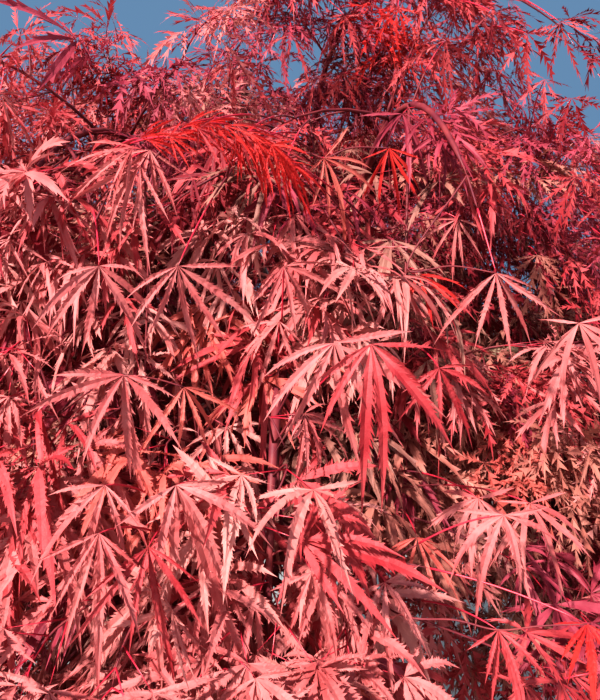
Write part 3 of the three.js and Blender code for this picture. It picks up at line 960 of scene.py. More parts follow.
def behind_front(points):
    """True behind the sloping front of the crown, which is nearest at the lower left."""
    x, y, depth = seen_at(points)
    right = np.clip(x / PICTURE_WIDE, 0, 1)
    high = np.clip(1 - y / PICTURE_HIGH, 0, 1)
    front = FRONT_NEAR + FRONT_RIGHT * right + FRONT_TOP * high**1.5
    return (depth > front) | (depth < 0) | ~near_picture(x, y, VIEW_MARGIN, VIEW_MARGIN)


def openness(points):
    """The greatest openness among the openings that a point is seen in."""
    x, y, depth = seen_at(points)
    most = np.zeros(len(points))
    for middle_x, middle_y, half_wide, half_high, share, farthest in OPENINGS.values():
        inside = ((x - middle_x) / half_wide) ** 2 + ((y - middle_y) / half_high) ** 2 < 1
        most = np.maximum(most, share * (inside & (depth > 0) & (depth < farthest)))
    return most


# %% Grow three orders of twigs
STEM_SHARES = (0.08, 0.24, 0.40, 0.57, 0.74, 0.92)
SPUR_SHARES, SPUR_SPREAD = (0.5, 0.68, 0.86), 0.15
SPUR_SEAT = 0.01  # metres of a bough that stand for a spur's parent
SMALL_SHARES, SMALL_SPREAD = (0.35, 0.72), 0.52
TIP_SPREAD = 0.4
stem_points = np.array([stem["points"] for stem in stems.values()])
stem_twigs = {
    "start": stem_points[:, 0],
    "bend": stem_points[:, 1],
    "end": stem_points[:, 2],
    "thick": np.array([stem["thick"] for stem in stems.values()]),
    "thin": np.full(len(stems), RADII["first"][0]),
    "mass": np.arange(len(stems)),
    "length": np.linalg.norm(stem_points[:, 2] - stem_points[:, 0], axis=1),
}
spreads = np.array([stem["spread"] for stem in stems.values()])


def spurs(shares):
    """Leafy twigs on the outer half of each bough, in pairs like the others."""
    rows = []
    for mass, name in enumerate(stems):
        line = limbs[name.replace("foliage", "bough")]["line"]
        places, ways = at(line, shares)
        rows.append({
            "start": places,
            "bend": places + 0.5 * SPUR_SEAT * ways,
            "end": places + SPUR_SEAT * ways,
            "mass": np.full(len(places), mass),
        })
    return branch(stacked(rows), (0.0, 0.0), SPUR_SPREAD, "spur", TWIG_SAG, roll=0.5)


def within(twigs, interlock):
    """The twigs that end in their mass's space, in the dome and behind the crown's front."""
    ends = twigs["end"]
    kept = in_space(ends, twigs["mass"], interlock) & in_dome(ends, TWIG_DOME)
    return only(twigs, kept & behind_front(ends))


first_order = branch(stem_twigs, STEM_SHARES, spreads, "first", TWIG_SAG, roll=0.3)
first_order = within(stacked([first_order, spurs(SPUR_SHARES)]), TWIG_INTERLOCK)
parent_length = first_order["length"]
second_order = branch(
    first_order, SMALL_SHARES, SMALL_SPREAD * parent_length, "second", SMALL_SAG, roll=0.6
)
first_ends, first_ways = parabola(first_order, 1.0)
tips = make_twigs(
    first_ends, first_ways, TIP_SPREAD * parent_length, "tip", first_order["mass"], TIP_SAG
)
second_order = within(stacked([second_order, tips]), INTERLOCK)
first_count, second_count = len(first_order["start"]), len(second_order["start"])
print("twigs:", first_count, "of the first order and", second_count, "of the second")

# %% Twigs as tapered tubes
BUD_SHARE = 0.12  # the last ring is drawn in, so that no twig ends bluntly
TUBE_GRIDS = {  # rings and sides
    "stem": (14, 8),
    "first": (6, 5),
    "second": (4, 3),
    "stalk": (2, 3),
    "clear": (8, 5),
    "spray": (10, 5),
}


def tubes(twigs, kind):
    """Rings round each parabola, in its plane's normal and that normal's cross product."""
    rings, sides = TUBE_GRIDS[kind]
    shares = np.linspace(0, 1, rings)
    place, tangent = (np.stack(part, 1) for part in zip(*[parabola(twigs, s) for s in shares]))
    start, bend, end = (twigs[key][:, None] for key in ("start", "bend", "end"))
    plane = np.cross(bend - start, end - bend)
    flat = np.linalg.norm(plane, axis=-1, keepdims=True) < 1e-9
    plane = unit(np.where(flat, np.cross(end - start, [0.3, 0.5, 0.8]), plane))
    over = np.cross(plane, tangent)
    angles = np.linspace(0, 2 * math.pi, sides, endpoint=False)[None, None, :, None]
    radius = twigs["thick"][:, None] * (1 - shares) + twigs["thin"][:, None] * shares
    radius[:, -1] *= BUD_SHARE
    ring = np.cos(angles) * over[:, :, None] + np.sin(angles) * plane[:, :, None]
    points = place[:, :, None] + radius[..., None, None] * ring
    cells = grid_faces(rings, sides, closed=True)
    fan = np.arange(1, sides - 1)
    foot = np.stack([0 * fan, fan + 1, fan], -1)
    tip = np.stack([0 * fan, fan, fan + 1], -1) + (rings - 1) * sides
    one = np.concatenate([cells[:, [0, 1, 2]], cells[:, [0, 2, 3]], foot, tip])
    return points.reshape(-1, 3), repeated(one, rings * sides, len(twigs["start"]))


twig_points, twig_faces = joined(
    [tubes(stem_twigs, "stem"), tubes(first_order, "first"), tubes(second_order, "second")]
)
twig_piece = mesh_piece("twigs", twig_points, twig_faces, [TWIG_SKIN])
foliage_names = list(stems)
dress(twig_piece, foliage_names)

# %% [markdown]
# ## One leaf
# A laceleaf leaf is a hand of seven narrow lobes that are free almost to the stalk, and each
# lobe is cut into teeth that point forwards. A near lobe is a strip folded up along its midrib,
# with a triangle on the strip for each tooth. On a far lobe the teeth start from the midrib
# itself, which takes a third of the triangles. The teeth tilt unevenly, so they catch the light.

# %% The outline of a lobe
STRIP_WIDTH = 0.046  # half the width of the uncut strip, as a share of the lobe's length
TOOTH_WIDTH = 0.069  # how far the teeth reach from the midrib
CUT_WIDER = 1.45  # how much further they reach where the lobe is cut to its midrib
FOLD = 0.34  # how steeply the sides rise from the midrib
RUFFLE, WAVER = 0.40, 0.1  # how unevenly the teeth are tilted and the midrib runs
FOOT_SHARE, BODY_SHARE, TIP_SHARE = 0.15, 0.86, 1.08  # where the strip starts and ends, the tip
TIP_POINT = [0, TIP_SHARE, -0.01]
SLIM_SHARE = 0.34  # what is left of the strip where a lobe is cut to its midrib
TOOTH_REACH, TOOTH_AHEAD = (0.65, 1.35), (0.3, 0.9)  # least and most of a tooth's scatter


def fullness_at(s):
    """How full the lobe is at a share s: sin(pi * (s / tip)**0.85)**0.9, at least a quarter."""
    return np.maximum(np.sin(math.pi * (s / TIP_SHARE) ** 0.85) ** 0.9, 0.25)


def tooth_tips(hand, s, width, draw):
    """Tips of the teeth on one side: out from each stretch of the midrib, ahead, and tilted."""
    teeth = len(s) - 1
    fullness = fullness_at(0.5 * (s[1:] + s[:-1]))
    reach = width * TOOTH_WIDTH * fullness * draw.uniform(*TOOTH_REACH, teeth)
    ahead = draw.uniform(*TOOTH_AHEAD, teeth) * (s[1] - s[0])
    tilt = FOLD + RUFFLE * draw.normal(0, 1, teeth)
    return np.stack([hand * reach, s[1:] + ahead, tilt * reach], -1)


# %% Lobes with a strip, and lobes cut to the midrib
def toothed_lobe(teeth, width, draw):
    """Points (across, along, over) and triangles of a lobe of length one: a strip with teeth."""
    s = np.linspace(FOOT_SHARE, BODY_SHARE, teeth + 1)
    strip = width * STRIP_WIDTH * fullness_at(s)
    rows = [np.stack([0 * s, s, WAVER * strip * draw.normal(0, 1, teeth + 1)], -1)]
    for hand in (-1, 1):
        rows += [np.stack([hand * strip, s, FOLD * strip], -1), tooth_tips(hand, s, width, draw)]
    points = np.concatenate([*rows, [[0, 0, 0]], [TIP_POINT]])
    first = np.cumsum([0] + [len(row) for row in rows])
    root, end = len(points) - 2, len(points) - 1
    k = np.arange(teeth)
    faces = []
    for side, hand in enumerate((-1, 1)):
        notch, tip = first[1 + 2 * side], first[2 + 2 * side]
        cells = np.concatenate([
            np.stack([k, k + 1, notch + k + 1], -1),
            np.stack([k, notch + k + 1, notch + k], -1),
            np.stack([notch + k, notch + k + 1, tip + k], -1),
            np.array([[root, 0, notch], [teeth, end, notch + teeth]]),
        ])
        faces.append(cells if hand < 0 else cells[:, ::-1])
    return points, np.concatenate(faces)


def barbed_lobe(teeth, width, draw):
    """A lobe cut to its midrib: a triangle for each tooth, one for the foot and one for the tip."""
    s = np.linspace(FOOT_SHARE, BODY_SHARE, teeth + 1)
    rib = np.stack([0 * s, s, 0 * s], -1)
    slim = SLIM_SHARE * width * STRIP_WIDTH
    foot = [[0, 0, 0], [-slim, FOOT_SHARE, 0], [slim, FOOT_SHARE, 0]]
    tip = [[-slim, BODY_SHARE, 0], [slim, BODY_SHARE, 0], TIP_POINT]
    sides = [tooth_tips(hand, s, CUT_WIDER * width, draw) for hand in (-1, 1)]
    points = np.concatenate([rib, *sides, foot, tip])
    k = np.arange(teeth)
    left, right, last = teeth + 1, 2 * teeth + 1, 3 * teeth + 1
    faces = np.concatenate([
        np.stack([k, k + 1, left + k], -1),
        np.stack([k, right + k, k + 1], -1),
        np.array([[0, 2, 1], [3, 4, 5]]) + last,
    ])
    return points, faces


# %% A hand of lobes
LOBE_TURNS = np.radians([0, 28, -28, 56, -56, 86, -86])
LOBE_SHARES = np.array([1.0, 0.95, 0.95, 0.82, 0.82, 0.56, 0.56])
HAND_OPEN, LOBE_CURL, LOBE_SIZES = (0.85, 1.15), (0.05, 0.3), (0.72, 1.12)  # least and most
TURN_SCATTER, TWIST_SCATTER, SICKLE_SCATTER, LIFT_SCATTER = 0.13, 0.7, 0.13, 0.22


def bend_lobe(points, twist, sickle, lift, curl):
    """Turn by twist * y about the midrib, and add sickle * y**2 to x and lift * y - curl * y**2."""
    x, y, z = points.T
    roll = twist * y
    return np.stack([
        x * np.cos(roll) - z * np.sin(roll) + sickle * y**2,
        y,
        x * np.sin(roll) + z * np.cos(roll) + lift * y - curl * y**2,
    ], -1)


def leaf_shape(make_lobe, teeth, lobes, width, draw):
    """The lobes of a leaf turned about its palm, each with its own length, twist and curl."""
    parts = []
    open_hand = draw.uniform(*HAND_OPEN)
    for turn, share in zip(LOBE_TURNS[:lobes], LOBE_SHARES[:lobes]):
        points, faces = make_lobe(teeth, width, draw)
        angle = turn * open_hand + draw.normal(0, TURN_SCATTER)
        twist = draw.normal(0, TWIST_SCATTER)
        sickle = draw.normal(0, SICKLE_SCATTER)
        lift = draw.normal(0, LIFT_SCATTER)
        x, y, z = bend_lobe(points, twist, sickle, lift, draw.uniform(*LOBE_CURL)).T
        turned_x = x * math.cos(angle) + y * math.sin(angle)
        turned_y = y * math.cos(angle) - x * math.sin(angle)
        lobe = np.stack([turned_x, turned_y, z], -1)
        parts.append((lobe * share * draw.uniform(*LOBE_SIZES), faces))
    return joined(parts)


SHAPE_VARIANTS = 16
SHAPE_WIDTHS = np.linspace(0.65, 1.15, SHAPE_VARIANTS)  # from thread leaves to broad ones
shape_draw = np.random.default_rng(11)
# From the nearest leaves to the farthest: how a lobe is made, its teeth on a side, the lobes.
LEAF_DETAIL = {
    "near": (toothed_lobe, 17, 7),
    "middle": (toothed_lobe, 6, 7),
    "fine": (barbed_lobe, 6, 7),
    "far": (barbed_lobe, 3, 5),
}
leaf_shapes = {
    name: [leaf_shape(make_lobe, teeth, lobes, width, shape_draw) for width in SHAPE_WIDTHS]
    for name, (make_lobe, teeth, lobes) in LEAF_DETAIL.items()
}
shape_faces = np.array([len(shapes[0][1]) for shapes in leaf_shapes.values()])
print("leaf faces:", dict(zip(leaf_shapes, shape_faces.tolist())))

# %% [markdown]
# ## Leaves on the twigs
# Leaves sit in opposite pairs too. Each has a thin stalk that leads outwards, and its blade
# hangs from the end of the stalk with its upper face to the light. The tips hang most. Leaves
# are smaller and slimmer towards the top of the crown.

# %% Seat the leaves
LEAF_SEATS = (0.30, 0.55, 0.78, 1.0)
HIGH_SEATS = (0.15, 0.42, 0.67, 0.90)  # between the others, on twigs that end high up
HIGH_TWIGS = 1.22  # metres above the floor at which a twig ends high up
WAY_ALONG, WAY_ASIDE, WAY_OUTWARD, WAY_UP = 0.55, 0.65, 0.35, 0.18  # parts of a stalk's way
WAY_SCATTER = 0.3
leaf_draw = np.random.default_rng(13)


def seat_leaves(twigs, shares, draw=leaf_draw):
    """A pair of leaves at each share of each twig: the stalks' roots and ways."""
    rows = []
    count = len(twigs["start"])
    for share in shares:
        place, along = parabola(twigs, share)
        level = level_across(along, place)
        outward = outward_at(place)
        for hand in (-1, 1):
            way = WAY_ALONG * along + hand * WAY_ASIDE * level + WAY_OUTWARD * outward + WAY_UP * UP
            way = unit(way + draw.normal(0, WAY_SCATTER, (count, 3)))
            rows.append({
                "root": place, "way": way, "mass": twigs["mass"], "twig": np.arange(count),
            })
    return stacked(rows)


# %% How the blades hang
STALK, STALK_FALL = 0.034, 0.10  # metres, and how far it hangs as a share of that
LOBE_LENGTH = 0.084  # metres, of the middle lobe
SIZE_LOW, SIZE_LOSS = 1.05, 0.3  # the leaves' size at the foot, and how much less at the top
FORWARD_ALONG, FORWARD_OUT, FORWARD_SCATTER = 0.8, 0.3, 0.3  # parts of a blade's direction
FLATTENED = np.array([1, 1, 0.4])  # a blade takes over less of its stalk's rise
FACE_OUT, FACE_UP, FACE_SCATTER = 0.7, 0.8, 0.35  # parts of the direction that it faces
LEAF_LIMITS = {  # least and most of what is drawn for each leaf
    "stalk": (0.7, 1.3),
    "hang": (0.05, 1.0),
    "size": (0.7, 1.1),
    "droop": (0.05, 0.42),
    "opened": (0.9, 1.25),
}


def height_share(points):
    """0 at the lowest leaves and 1 at the highest."""
    return np.clip((points[:, 2] - LEAFY_FOOT) / (LEAFY_TOP - LEAFY_FOOT), 0, 1)


def frame_rows(forward, face):
    """Rows side, forward and upper face, with the face turned square to forward."""
    face = unit(face - (face * forward).sum(-1, keepdims=True) * forward)
    return np.stack([np.cross(forward, face), forward, face], 1)


def blade_frames(ways, outward, draw):
    """The blades' frames: forward hangs outwards, and the face looks up and out."""
    count = len(ways)
    hang = draw.uniform(*LEAF_LIMITS["hang"], count)[:, None]
    forward = FORWARD_ALONG * ways * FLATTENED + FORWARD_OUT * outward - hang * UP
    forward = unit(forward + draw.normal(0, FORWARD_SCATTER, (count, 3)))
    face = FACE_OUT * outward + FACE_UP * UP + draw.normal(0, FACE_SCATTER, (count, 3))
    return frame_rows(forward, face)


def finish_leaves(leaves, draw=leaf_draw):
    """Give each seated leaf its palm, frame, size, droop and how far its lobes are opened."""
    count = len(leaves["root"])
    stalk = STALK * draw.uniform(*LEAF_LIMITS["stalk"], count)
    palm = leaves["root"] + stalk[:, None] * (leaves["way"] - STALK_FALL * UP)
    frame = blade_frames(leaves["way"], outward_at(palm), draw)
    size = LOBE_LENGTH * draw.uniform(*LEAF_LIMITS["size"], count)
    return {
        **leaves,
        "palm": palm,
        "frame": frame,
        "size": size * (SIZE_LOW - SIZE_LOSS * height_share(palm)),
        "droop": draw.uniform(*LEAF_LIMITS["droop"], count),
        "opened": draw.uniform(*LEAF_LIMITS["opened"], count),
    }


# %% Leaves on every twig
BARE_SHARE, FULL_SHARE = 0.35, 0.70  # of the dome, between which the leaves get denser
LEAST_LEAVES = 0.3  # the share of the leaves that is kept in the middle
leafy = stacked([second_order, first_order, stem_twigs])
high_twigs = np.flatnonzero(parabola(leafy, 1.0)[0][:, 2] > HIGH_TWIGS)
high_leaves = seat_leaves(only(leafy, high_twigs), HIGH_SEATS)
high_leaves["twig"] = high_twigs[high_leaves["twig"]]
leaves = stacked([seat_leaves(leafy, LEAF_SEATS), high_leaves])
leaves = finish_leaves(leaves)
palms = leaves["palm"]
kept = in_dome(palms, LEAF_DOME) & in_space(palms, leaves["mass"], LEAF_INTERLOCK)
kept &= behind_front(palms)
density = (dome_share(palms) - BARE_SHARE) / (FULL_SHARE - BARE_SHARE)
density = np.clip(density, LEAST_LEAVES, 1) * (1 - openness(palms))
kept &= leaf_draw.random(len(kept)) < density
leaves = only(leaves, kept)
print("leaves:", len(leaves["palm"]))

# %% Put the blades in their places
HANG_POWER = 1.4  # how late along a lobe the droop sets in
HANG_DRAW = 0.45  # how far a drooping lobe is drawn back to its palm


def place_blades(shapes, leaves, variants):
    """Palm + size * (shape turned into the frame), then bent down by droop * distance**1.4."""
    points = np.stack([shape[0] for shape in shapes])[variants]
    turn = np.arctan2(points[..., 0], points[..., 1]) * leaves["opened"][:, None]
    reach = np.hypot(points[..., 0], points[..., 1])
    points = np.stack([reach * np.sin(turn), reach * np.cos(turn), points[..., 2]], -1)
    size = leaves["size"][:, None, None]
    turned_points = np.einsum("nvi,nij->nvj", points, leaves["frame"]) * size
    away = np.linalg.norm(turned_points, axis=-1, keepdims=True)
    hang = leaves["droop"][:, None, None] * (away / size) ** HANG_POWER
    placed = leaves["palm"][:, None] + turned_points * (1 - HANG_DRAW * hang) - away * hang * UP
    count, corners = points.shape[:2]
    return placed.reshape(-1, 3), repeated(shapes[0][1], corners, count)


# %% [markdown]
# ## The leaves that the picture shows best
# The nearest leaves are seen one by one. Each is written as the pixel of its palm, the pixel
# of its middle lobe's tip, its distance, how far its lobes are opened and its colour. The
# leaves of the scarlet arch at the top follow one line. A thin twig leads to each clear leaf
# from a free place on the twigs behind, and ends as the leaf's stalk.

# %% Place the clear leaves
CLEAR_LEAVES = {
    "left_edge": ((0, 92), (47, 157), 0.66, 0.8, "rose"),
    "arch_left": ((133, 147), (41, 200), 0.50, 0.6, "rose"),
    "arch_low": ((140, 165), (60, 250), 0.50, 0.7, "rose"),
    "arch_front": ((150, 150), (125, 235), 0.52, 0.8, "rose"),
    "upper_hand": ((231, 59), (252, 125), 0.72, 1.0, "crimson"),
    "under_arch": ((238, 134), (248, 192), 0.515, 0.45, "scarlet"),
    "small_first": ((316, 77), (333, 127), 0.82, 1.0, "crimson"),
    "small_second": ((343, 73), (362, 122), 0.82, 1.0, "crimson"),
    "small_third": ((387, 85), (391, 134), 0.85, 1.0, "crimson"),
    "top_spray": ((446, 40), (430, 105), 0.72, 1.1, "crimson"),
    "top_right": ((545, 79), (520, 130), 0.80, 1.0, "crimson"),
    "top_far_left": ((22, 28), (28, 88), 0.78, 1.0, "crimson"),
    "top_left_second": ((62, 50), (70, 105), 0.80, 1.0, "maroon"),
    "top_left_third": ((18, 70), (8, 125), 0.72, 0.9, "crimson"),
    "top_left_fourth": ((102, 84), (108, 132), 0.80, 1.0, "maroon"),
    "top_middle_first": ((205, 22), (195, 72), 0.80, 0.9, "crimson"),
    "top_middle_second": ((292, 34), (288, 84), 0.80, 1.0, "crimson"),
    "top_middle_third": ((345, 16), (338, 66), 0.78, 1.0, "crimson"),
    "top_middle_fourth": ((398, 8), (392, 62), 0.76, 1.0, "scarlet"),
    "top_right_second": ((492, 12), (500, 68), 0.78, 1.0, "maroon"),
    "top_right_third": ((528, 34), (540, 88), 0.80, 1.0, "crimson"),
    "top_right_fourth": ((572, 98), (566, 150), 0.78, 1.0, "maroon"),
    "top_right_fifth": ((560, 22), (580, 72), 0.82, 0.9, "crimson"),
    "scarlet_hanging": ((389, 148), (392, 215), 0.62, 0.7, "scarlet"),
    "open_hand": ((324, 158), (372, 228), 0.58, 0.9, "coral"),
    "right_high": ((577, 176), (580, 235), 0.75, 1.0, "crimson"),
    "dull_first": ((426, 213), (418, 262), 0.80, 1.0, "bronze"),
    "dull_second": ((525, 217), (522, 262), 0.80, 1.0, "maroon"),
    "middle_row": ((458, 219), (440, 280), 0.66, 1.0, "rose"),
    "first_hand": ((99, 266), (95, 372), 0.47, 1.0, "rose"),
    "second_hand": ((178, 266), (190, 385), 0.46, 0.9, "rose"),
    "third_hand": ((284, 266), (330, 345), 0.50, 0.9, "rose"),
    "fourth_hand": ((279, 321), (250, 400), 0.52, 0.8, "rose"),
    "long_left": ((124, 375), (100, 500), 0.43, 1.05, "rose"),
    "beside_long": ((184, 387), (215, 465), 0.47, 0.9, "coral"),
    "middle_hand": ((334, 343), (345, 508), 0.42, 1.0, "rose"),
    "middle_red": ((371, 344), (405, 490), 0.42, 0.8, "crimson"),
    "right_first": ((400, 276), (405, 355), 0.55, 1.0, "rose"),
    "right_second": ((418, 275), (460, 325), 0.58, 0.8, "scarlet"),
    "right_hand": ((496, 273), (510, 368), 0.50, 0.9, "rose"),
    "pale_first": ((537, 255), (545, 310), 0.78, 1.1, "bronze"),
    "pale_second": ((552, 288), (550, 340), 0.80, 1.0, "bronze"),
    "right_red": ((439, 368), (470, 440), 0.52, 1.0, "crimson"),
    "right_edge": ((579, 323), (590, 410), 0.60, 1.0, "rose"),
    "pale_low": ((469, 421), (468, 482), 0.72, 1.0, "bronze"),
    "low_left": ((105, 485), (40, 610), 0.42, 0.9, "rose"),
    "low_second": ((176, 485), (228, 625), 0.42, 0.9, "rose"),
    "blurred_first": ((99, 533), (72, 680), 0.41, 0.7, "rose"),
    "blurred_second": ((148, 547), (152, 690), 0.41, 0.7, "crimson"),
    "low_middle": ((204, 586), (250, 690), 0.46, 0.9, "rose"),
    "low_third": ((275, 521), (300, 580), 0.55, 0.9, "bronze"),
    "low_fourth": ((312, 572), (330, 680), 0.47, 0.9, "rose"),
    "low_fifth": ((385, 582), (430, 680), 0.49, 0.9, "rose"),
    "low_sixth": ((417, 537), (427, 612), 0.55, 0.9, "coral"),
    "cluster_first": ((504, 515), (512, 620), 0.50, 1.0, "rose"),
    "cluster_second": ((530, 503), (555, 590), 0.56, 1.0, "rose"),
    "cluster_third": ((478, 498), (465, 575), 0.56, 1.0, "rose"),
    "low_hand": ((498, 630), (522, 720), 0.49, 0.8, "crimson"),
    "corner": ((587, 624), (582, 700), 0.49, 0.9, "scarlet"),
}
ARCH = np.array([(140, 138), (174, 127), (206, 120), (236, 123), (262, 136), (288, 160),
                 (308, 184), (328, 212)], float)
ARCH_LEAVES, ARCH_REACH = 18, 0.25  # how many, and how far along the line each one's tip is
# What the leaves of the arch are given in turn: the pixels by which their tips are below the
# line, their distances, how far they are opened, and their colours.
ARCH_FALLS = (0, 26, 8, 34, 14)
ARCH_DISTANCES = (0.490, 0.502, 0.514)
ARCH_OPENED = (0.40, 0.52, 0.64, 0.76)
# The arch's scarlet partly paints light shining through its leaves.
ARCH_COLOURS = ("scarlet", "scarlet", "crimson", "scarlet")
PALM_FALL = 0.25  # how far a palm is below the line, as a share of its tip's fall
CLEAR_SIZE, CLEAR_DROOP = 0.95, 0.28
LENS_PART, UP_PART = 0.75, 0.5  # parts of the direction that a clear leaf faces


def in_turn(values, number):
    """The value whose turn it is when the values are taken in order, again and again."""
    return values[number % len(values)]


def arch_leaf(number):
    """A leaf that lies along the arch: its tip is further along the line and a little lower."""
    place = np.linspace(0, 1, len(ARCH))
    shares = number / ARCH_LEAVES * (1 - ARCH_REACH) + np.array([0, ARCH_REACH])
    (palm_x, tip_x), (palm_y, tip_y) = (np.interp(shares, place, line) for line in ARCH.T)
    fall = in_turn(ARCH_FALLS, number)
    ends = (palm_x, palm_y + PALM_FALL * fall), (tip_x, tip_y + fall)
    return *ends, *(in_turn(row, number) for row in (ARCH_DISTANCES, ARCH_OPENED, ARCH_COLOURS))


def points_of(table):
    """The points for the first and for the second pixel of each row, at the row's distance."""
    firsts = [pixel_point(*first, distance) for first, _, distance, *_ in table.values()]
    seconds = [pixel_point(*second, distance) for _, second, distance, *_ in table.values()]
    return np.array(firsts), np.array(seconds)


def clear_frames(palms, tips):
    """The frames of leaves that point at their tips and face the lens."""
    return frame_rows(unit(tips - palms), LENS_PART * unit(CAMERA_PLACE - palms) + UP_PART * UP)


CLEAR_LEAVES.update({f"arch_leaf_{number}": arch_leaf(number) for number in range(ARCH_LEAVES)})
clear_palms, clear_tips = points_of(CLEAR_LEAVES)
clear_opened = np.array([opened for _, _, _, opened, _ in CLEAR_LEAVES.values()])
clear_leaves = {
    "palm": clear_palms,
    "frame": clear_frames(clear_palms, clear_tips),
    "size": CLEAR_SIZE * np.linalg.norm(clear_tips - clear_palms, axis=1),
    "opened": clear_opened,
    "droop": CLEAR_DROOP * clear_opened,
}
shortest, longest = clear_leaves["size"].min(), clear_leaves["size"].max()
print("clear leaves:", len(CLEAR_LEAVES), "lobes", shortest.round(3), "to", longest.round(3))

# %% Keep the view to the clear leaves free
HIDING_SHARE = 0.6  # of a clear leaf's length in the picture, round its middle


def hides_clear(leaves):
    """True where a blade's middle is before a clear leaf and near its middle in the picture."""
    middles = leaves["palm"] + 0.5 * leaves["size"][:, None] * leaves["frame"][:, 1]
    x, y, depth = seen_at(middles)
    palm_x, palm_y, clear_depth = seen_at(clear_palms)
    tip_x, tip_y, _ = seen_at(clear_tips)
    reach = HIDING_SHARE * np.hypot(tip_x - palm_x, tip_y - palm_y)
    apart = np.hypot(x[:, None] - 0.5 * (palm_x + tip_x), y[:, None] - 0.5 * (palm_y + tip_y))
    return ((apart < reach) & (depth[:, None] < clear_depth) & (depth[:, None] > 0)).any(1)


leaves = only(leaves, ~hides_clear(leaves))
print("leaves that hide no clear one:", len(leaves["palm"]))

# %% Twigs to the clear leaves
def free_seats(twigs, points, shares=12, room=0.015):
    """For each point the nearest place on the twigs that is behind it and has room for one more."""
    places = np.concatenate([parabola(twigs, share)[0] for share in np.linspace(0.1, 1, shares)])
    seats = []
    for point in points:
        in_front = seen_at(places)[2] < seen_at(point[None])[2]
        seat = places[(np.linalg.norm(places - point, axis=1) + in_front).argmin()]
        places = places[np.linalg.norm(places - seat, axis=1) > room]
        seats.append(seat)
    return np.array(seats)


def split(twigs, share):
    """Each parabola as two, cut at a share of it: the corner points of de Casteljau's rule."""
    near_bend = (1 - share) * twigs["start"] + share * twigs["bend"]
    far_bend = (1 - share) * twigs["bend"] + share * twigs["end"]
    cut = (1 - share) * near_bend + share * far_bend
    radius = (1 - share) * twigs["thick"] + share * twigs["thin"]
    near = {**twigs, "bend": near_bend, "end": cut, "thin": radius}
    return near, {**twigs, "start": cut, "bend": far_bend, "thick": radius}


CLEAR_BEND, CLEAR_LIFT = 0.6, np.array([0, 0.012, 0.018])  # where a twig bends, and how far up
STALK_FROM = 0.4  # the share of the way at which the twig goes over into the stalk
carriers = stacked([stem_twigs, first_order, second_order])
clear_seats = free_seats(carriers, clear_palms)
clear_lines = {
    "start": clear_seats,
    "bend": (1 - CLEAR_BEND) * clear_seats + CLEAR_BEND * clear_palms + CLEAR_LIFT,
    "end": clear_palms,
    **tapers("clear", len(clear_palms)),
}
clear_twigs, clear_stalks = split(clear_lines, STALK_FROM)
clear_gaps = np.linalg.norm(clear_palms - clear_seats, axis=1)
print("twigs to clear leaves: up to", clear_gaps.max().round(3), "metres long")

